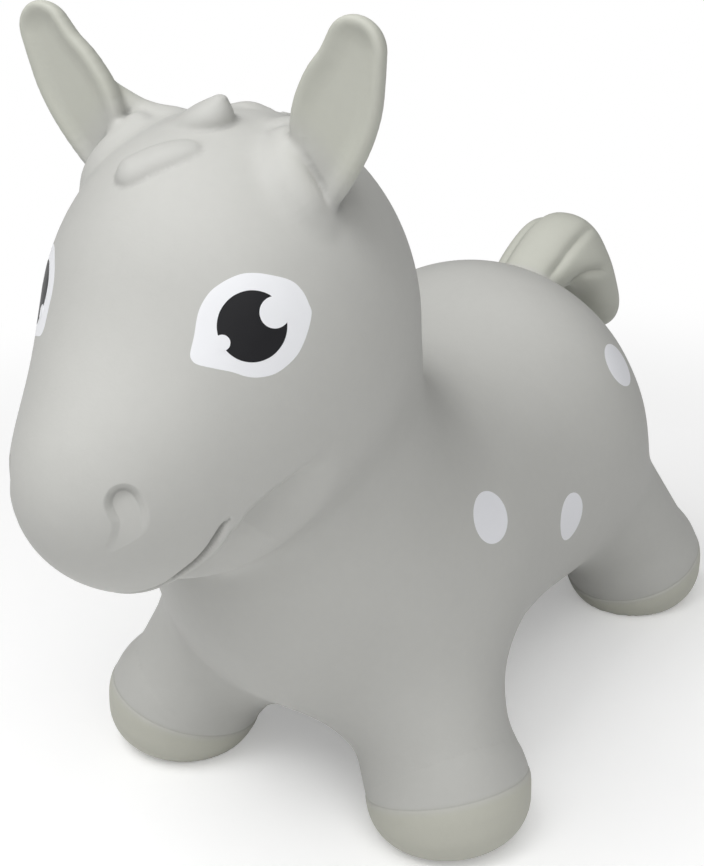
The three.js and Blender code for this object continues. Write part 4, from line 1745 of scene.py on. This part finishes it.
@dataclass
class Print:
    """A thin film of ink that lies on the skin, drawn as a disc of rings."""

    name: str
    seat: Seat
    material: bpy.types.Material
    height: float
    steps: int = 96
    rings: int = 10
    rounds: int = 6
    thickness: float = 0.35
    sharp: float = 0.6

    def build(self, skin: Skin, shape: "Outline", side: Side) -> bpy.types.Object:
        """Lays the film on the skin.

        Args:
            skin: The skin.
            shape: The film's outline.
            side: The side of the toy that it is on.

        Returns:
            The film.
        """
        disc = bmesh.new()
        line = [disc.verts.new((ring / self.rings, 0, 0)) for ring in range(self.rings + 1)]
        edges = [disc.edges.new(pair) for pair in zip(line, line[1:])]
        bmesh.ops.spin(
            disc, geom=[*line, *edges], cent=(0, 0, 0), axis=(0, 0, 1), angle=math.tau, steps=self.steps,
            use_merge=True,
        )
        bmesh.ops.remove_doubles(disc, verts=disc.verts[:], dist=WELD)
        flat = np.array([vert.co for vert in disc.verts])
        spread = shape.spread(flat[:, :2], side.value)
        points = self.seat.place + spread[:, :1] * self.seat.along + spread[:, 1:] * self.seat.upward
        for _ in range(self.rounds):
            points = points - skin.plain(points)[:, None] * self.seat.normal
        points = points + self.height * self.seat.normal
        for vert, place in zip(disc.verts, points):
            vert.co = place
        bmesh.ops.recalc_face_normals(disc, faces=disc.faces[:])
        facing = sum((face.normal for face in disc.faces), Vector())
        if facing.dot(Vector(self.seat.normal)) < 0:
            bmesh.ops.reverse_faces(disc, faces=disc.faces[:])
        bmesh.ops.solidify(disc, geom=disc.faces[:], thickness=self.thickness)
        bmesh.ops.recalc_face_normals(disc, faces=disc.faces[:])
        for edge in disc.edges:
            edge.smooth = edge.calc_face_angle(0) < self.sharp
        return finish_mesh(disc, self.name, self.material)


@dataclass(frozen=True)
class Outline:
    """A printed shape with one middle, whose edge is a smooth closed line through a few places."""

    edge: tuple[Pair, ...]
    middle: Pair = (0.0, 0.0)
    density: int = 16
    overlap: int = 3

    @classmethod
    def round(cls, radius: float, middle: Pair = (0.0, 0.0), corners: int = 12) -> "Outline":
        """A round print."""
        turns = (math.tau * step / corners for step in range(corners))
        return cls(tuple((radius * math.cos(turn), radius * math.sin(turn)) for turn in turns), middle)

    def spread(self, flat: Array, flip: int) -> Array:
        """A round disc of radius one, drawn out to this outline.

        Args:
            flat: Places in the disc.
            flip: 1 for the shape as it is drawn, -1 for its mirror image.

        Returns:
            The same places in the outline, in millimetres along and up.
        """
        knots = (*self.edge[-self.overlap:], *self.edge, *self.edge[:self.overlap])
        line = drawn(knots, self.density * (len(knots) - 1) + 1)
        turns = np.unwrap(np.arctan2(line[:, 1], line[:, 0]))
        turn = np.arctan2(flat[:, 1], flat[:, 0] * flip) % math.tau
        first = turns[self.density * self.overlap]
        turn = first + (turn - first) % math.tau
        reach = np.interp(turn, turns, size_of(line))
        return (flat * (flip, 1) * reach[:, None] + self.middle) * (flip, 1)


@dataclass
class Prints:
    """The printed eyes and the round spots on the flanks."""

    skin: Skin
    finishes: Finishes
    eye_azimuth: float = 42.5
    far_eye_azimuth: float = 38.5
    eye_rise: float = 18.5
    eye: Outline = Outline((
        (28.9, 2.3), (28.2, 6.5), (25.7, 12.9), (20.5, 18.4), (9.8, 22.3), (2.5, 23.7), (-3.5, 23.4), (-10.8, 20.9),
        (-17.4, 16.7), (-22.8, 9.2), (-26.2, -1.4), (-28.7, -8.2), (-28.9, -11.0), (-26.8, -13.9), (-19.3, -16.7),
        (-11.7, -19.2), (-5.0, -22.2), (1.0, -23.4), (8.6, -22.7), (15.8, -19.0), (21.3, -14.0), (26.1, -5.7),
    ))
    pupil: Outline = Outline.round(16.2, (0.3, -0.1))
    glints: tuple[tuple[str, Outline], ...] = (
        ("glint", Outline.round(7.3, (11.3, 5.0))),
        ("small_glint", Outline.round(3.7, (-14.3, -5.8))),
    )
    spots: tuple[tuple[str, float, float], ...] = (("shoulder", -40, 183), ("belly", 48, 148), ("hip", 140, 216))
    spot: Outline = Outline.round(15.0)
    film_height: float = 0.06
    pupil_height: float = 0.11
    glint_height: float = 0.16

    @staticmethod
    def enter(piece: bpy.types.Object, slot: str, *nodes: str) -> None:
        """Hangs one film on the body, and hides the nodes that it stands for.

        Args:
            piece: The film.
            slot: Not used.
            nodes: The nodes that it stands for, if any.
        """
        if nodes:
            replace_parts(piece, *nodes)
        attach(piece, "body")
        LOG.info("%s: %d faces", piece.name, len(piece.data.polygons))

    def build(self) -> None:
        """Prints both eyes and all six spots."""
        inks = (self.finishes.white, self.finishes.black, self.finishes.spot)
        white, black, spot = (ink.material() for ink in inks)
        for side in Side:
            self.build_eye(side, white, black)
            for word, y, z in self.spots:
                seat = Seat.on(self.skin, (0, y, z), tuple(side.turn((1, 0, 0))))
                name = f"{side.word}_{word}_spot"
                film = Print(f"{name}_print", seat, spot, self.film_height, steps=72)
                self.enter(film.build(self.skin, self.spot, side), "white_ink", name)

    def build_eye(self, side: Side, white: bpy.types.Material, black: bpy.types.Material) -> None:
        """Prints one eye: the white, the pupil and its glints.

        Args:
            side: Which eye it is.
            white: The white ink.
            black: The black ink.
        """
        turn = math.radians(self.eye_azimuth if side is Side.LEFT else self.far_eye_azimuth)
        rise = math.radians(self.eye_rise)
        way = (math.sin(turn) * math.cos(rise), -math.cos(turn) * math.cos(rise), math.sin(rise))
        seat = Seat.on(self.skin, self.skin.skull.centre, tuple(side.turn(way)))
        eye = f"{side.word}_eye"
        film = Print(f"{eye}_white_print", seat, white, self.film_height, steps=144)
        self.enter(film.build(self.skin, self.eye, side), "white_ink", f"{eye}_white")
        film = Print(f"{eye}_pupil_print", seat, black, self.pupil_height)
        self.enter(film.build(self.skin, self.pupil, side), "black_ink", f"{eye}_pupil")
        for word, glint in self.glints:
            film = Print(f"{eye}_{word}_print", seat, white, self.glint_height, steps=48, rings=6)
            self.enter(film.build(self.skin, glint, side), "white_ink")


@dataclass
class Valve:
    """The air valve under the belly: a lipped seat and its push-in plug."""

    finishes: Finishes
    y: float = 30.0
    lip_top: float = 40.9
    bore: float = 4.8
    lip: float = 11.0
    lip_thickness: float = 2.0
    lip_slope: float = 0.4
    collar: float = 7.2
    collar_top: float = 47.0
    seat_round: float = 0.5
    plug_gap: float = 0.3
    plug_head: float = 9.0
    head_thickness: float = 3.0
    dish_middle: float = 0.9
    dish_edge: float = 0.6
    dish_shares: Pair = (0.55, 0.72)
    shank: float = 4.5
    shank_length: float = 20.0
    shank_chamfer: float = 1.2
    plug_round: float = 0.35
    steps: int = 64
    weld: float = 1e-4
    sharp: float = 0.5
    pit_radius: float = 7.3
    pit_depth: float = 24.0
    belly_top: float = 60.0

    def open_pit(self, torso: bmesh.types.BMesh) -> None:
        """Opens the hole in the belly that the valve sits in.

        Args:
            torso: The body's skin.
        """
        y, radius = self.y, self.pit_radius

        def inside(face: bmesh.types.BMFace) -> bool:
            """Whether a face of the belly lies in the hole."""
            middle = face.calc_center_median()
            return middle.z < self.belly_top and math.hypot(middle.x, middle.y - y) < radius

        old = {edge for edge in torso.edges if edge.is_boundary}
        bmesh.ops.delete(torso, geom=[face for face in torso.faces if inside(face)], context="FACES")
        rim = [edge for edge in torso.edges if edge.is_boundary and edge not in old]
        for vert in {vert for edge in rim for vert in edge.verts}:
            out = radius / max(math.hypot(vert.co.x, vert.co.y - y), TINY)
            vert.co.x, vert.co.y = vert.co.x * out, y + (vert.co.y - y) * out
        made = bmesh.ops.extrude_edge_only(torso, edges=rim)["geom"]
        layer = torso.faces.layers.int["cap"]
        for part in made:
            if isinstance(part, bmesh.types.BMFace):
                part[layer] = 1
        raised = [part for part in made if isinstance(part, bmesh.types.BMVert)]
        bmesh.ops.translate(torso, vec=(0, 0, self.pit_depth), verts=raised)

    def turned(self, name: str, profile: list[Pair], round_off: float) -> bpy.types.Object:
        """Turns a closed profile round the valve's axis.

        Args:
            name: The piece's name.
            profile: Radius and height of each corner.
            round_off: How far its edges are rounded.

        Returns:
            The piece.
        """
        mesh = bmesh.new()
        corners = [mesh.verts.new((radius, self.y, height)) for radius, height in profile]
        closed = profile[0][0] > 0
        pairs = zip(corners, corners[1:] + corners[:1] if closed else corners[1:])
        edges = [mesh.edges.new(pair) for pair in pairs]
        bmesh.ops.spin(
            mesh, geom=[*corners, *edges], cent=(0, self.y, 0), axis=(0, 0, 1), angle=math.tau, steps=self.steps,
            use_merge=True,
        )
        bmesh.ops.remove_doubles(mesh, verts=mesh.verts[:], dist=self.weld)
        bmesh.ops.recalc_face_normals(mesh, faces=mesh.faces[:])
        sharp = [edge for edge in mesh.edges if edge.calc_face_angle(0) > self.sharp]
        bmesh.ops.bevel(
            mesh, geom=sharp, offset=round_off, affect="EDGES", segments=3, profile=0.5, material=-1,
            clamp_overlap=True,
        )
        return finish_mesh(mesh, name, self.finishes.valve.material())

    def build(self) -> None:
        """Turns the seat and the plug."""
        low = self.lip_top - self.lip_thickness
        seat = self.turned("valve_seat_ring", [
            (self.bore, low), (self.lip, low), (self.lip, self.lip_top),
            (self.collar, self.lip_top + self.lip_slope), (self.collar, self.collar_top),
            (self.bore, self.collar_top),
        ], self.seat_round)
        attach(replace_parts(seat, "valve_seat"), "body")
        top = low - self.plug_gap
        base, tip = top - self.head_thickness, top + self.shank_length
        dish, rim = (share * self.plug_head for share in self.dish_shares)
        plug = self.turned("valve_plug_turned", [
            (0, base + self.dish_middle), (dish, base + self.dish_edge), (rim, base),
            (self.plug_head, base), (self.plug_head, top), (self.shank, top),
            (self.shank, tip - self.shank_chamfer), (self.shank - self.shank_chamfer, tip), (0, tip),
        ], self.plug_round)
        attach(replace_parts(plug, "valve_plug"), "valve_plug")
        LOG.info("valve: seat %d faces, plug %d faces", len(seat.data.polygons), len(plug.data.polygons))


@dataclass
class Studio:
    """The floor, the soft light and the camera."""

    azimuth: float = 33.2
    elevation: float = 22.7
    roll: float = -1.9
    distance: float = 842.3
    target: Triple = (15.2, -47.3, 219.8)
    focal: float = 1455.7
    long_side: float = 866.0
    sensor: float = 36.0
    clip: Pair = (0.01, 100)
    floor_size: float = 14.0
    floor_drop: float = 0.0002
    floor_colour: Colour = (0.90, 0.90, 0.90)
    floor_lift: float = 0.25
    white_from: float = 0.42
    white_to: float = 0.95
    sky: float = 0.19
    lamp_size: float = 1.6
    lamp_target: Triple = (0, -0.05, 0.25)
    lamps: tuple[tuple[str, Triple, float], ...] = (
        ("key_light", (-0.496, -1.012, 2.125), 27.5),
        ("top_light", (0.753, -0.832, 2.125), 15.7),
        ("front_light", (1.304, -1.419, 1.32), 7.0),
    )

    def build(self) -> None:
        """Sets the whole studio up."""
        self.build_camera()
        self.build_floor()
        for name, place, power in self.lamps:
            self.build_light(name, place, power)
        self.build_sky()
        bpy.context.scene.view_settings.view_transform = "Standard"

    def build_camera(self) -> None:
        """Stands the camera where the photograph was taken from."""
        turn, rise, roll = (math.radians(a) for a in (self.azimuth, self.elevation, self.roll))
        back = Vector((math.sin(turn) * math.cos(rise), -math.cos(turn) * math.cos(rise), math.sin(rise)))
        right = Vector((math.cos(turn), math.sin(turn), 0))
        up = back.cross(right)
        right, up = (
            right * math.cos(roll) + up * math.sin(roll),
            up * math.cos(roll) - right * math.sin(roll),
        )
        lens = bpy.data.cameras.new("camera")
        lens.sensor_fit, lens.sensor_width = "AUTO", self.sensor
        lens.lens = self.focal * self.sensor / self.long_side
        lens.clip_start, lens.clip_end = self.clip
        camera = bpy.data.objects.new("camera", lens)
        place = (Vector(self.target) + back * self.distance) * MM
        camera.matrix_world = Matrix.Translation(place) @ Matrix((right, up, back)).transposed().to_4x4()
        bpy.context.scene.collection.objects.link(camera)
        bpy.context.scene.camera = camera

    def build_floor(self) -> None:
        """Lays a plain pale floor that keeps the toy's shadow."""
        mesh = bmesh.new()
        bmesh.ops.create_grid(mesh, x_segments=1, y_segments=1, size=self.floor_size / 2)
        bmesh.ops.translate(mesh, vec=(0, 0, -self.floor_drop), verts=mesh.verts[:])
        data = bpy.data.meshes.new("floor")
        mesh.to_mesh(data)
        mesh.free()
        made, sheet = blank_material("floor_paper")
        paper = sheet.node("BsdfDiffuse", Color=self.floor_colour)
        path = sheet.node("LightPath").outputs
        seen = sheet.math("MAXIMUM", path["Is Camera Ray"], path["Is Glossy Ray"])
        lift = sheet.node("Emission", Strength=sheet.math("MULTIPLY", seen, self.floor_lift))
        near = sheet.node("AddShader")
        sheet.feed(near.inputs[0], paper.outputs[0])
        sheet.feed(near.inputs[1], lift.outputs[0])
        place = sheet.node("TexCoord").outputs["Object"]
        away = sheet.node("VectorMath", {"operation": "LENGTH"}, Vector=place).outputs["Value"]
        fade = sheet.node("MapRange", {"interpolation_type": "SMOOTHSTEP"}, Value=away)
        sheet.feed(fade.inputs["From Min"], self.white_from)
        sheet.feed(fade.inputs["From Max"], self.white_to)
        ground = sheet.node("MixShader", Fac=sheet.math("MULTIPLY", seen, fade.outputs["Result"]))
        sheet.feed(ground.inputs[1], near.outputs[0])
        sheet.feed(ground.inputs[2], sheet.node("Emission", Strength=1.0).outputs[0])
        sheet.node("OutputMaterial", Surface=ground.outputs[0])
        data.materials.append(made)
        floor = bpy.data.objects.new("floor", data)
        bpy.context.scene.collection.objects.link(floor)

    def build_light(self, name: str, place: Triple, power: float) -> None:
        """Hangs one soft light that faces the toy.

        Args:
            name: The light's name.
            place: Where it hangs, in metres.
            power: Its power in watts.
        """
        lamp = bpy.data.lights.new(name, "AREA")
        lamp.shape, lamp.size, lamp.energy = "DISK", self.lamp_size, power
        light = bpy.data.objects.new(name, lamp)
        way = Vector(place) - Vector(self.lamp_target)
        light.matrix_world = Matrix.Translation(place) @ way.to_track_quat("Z", "Y").to_matrix().to_4x4()
        bpy.context.scene.collection.objects.link(light)

    def build_sky(self) -> None:
        """Lights the toy evenly from all round, and shows white behind it."""
        world = bpy.data.worlds.new("sky")
        world.use_nodes = True
        sheet = NodeSheet(world.node_tree)
        path = sheet.node("LightPath").outputs
        seen = sheet.math("MAXIMUM", path["Is Camera Ray"], path["Is Transmission Ray"])
        strength = sheet.node("Mix", {"data_type": "FLOAT"})
        sheet.feed(strength.inputs[0], seen)
        sheet.feed(strength.inputs[2], self.sky)
        sheet.feed(strength.inputs[3], 1.0)
        light = sheet.node("Background", Color=(1, 1, 1), Strength=strength.outputs[0])
        sheet.node("OutputWorld", Surface=light.outputs[0])
        bpy.context.scene.world = world


def main() -> None:
    """Builds the toy and its studio."""
    logging.basicConfig(level=logging.INFO, format="%(name)s: %(message)s")
    skin, finishes = Skin(), Finishes()
    Studio().build()
    Hide(skin, finishes).build()
    Prints(skin, finishes).build()
    Valve(finishes).build()


if __name__ == "__main__":
    main()
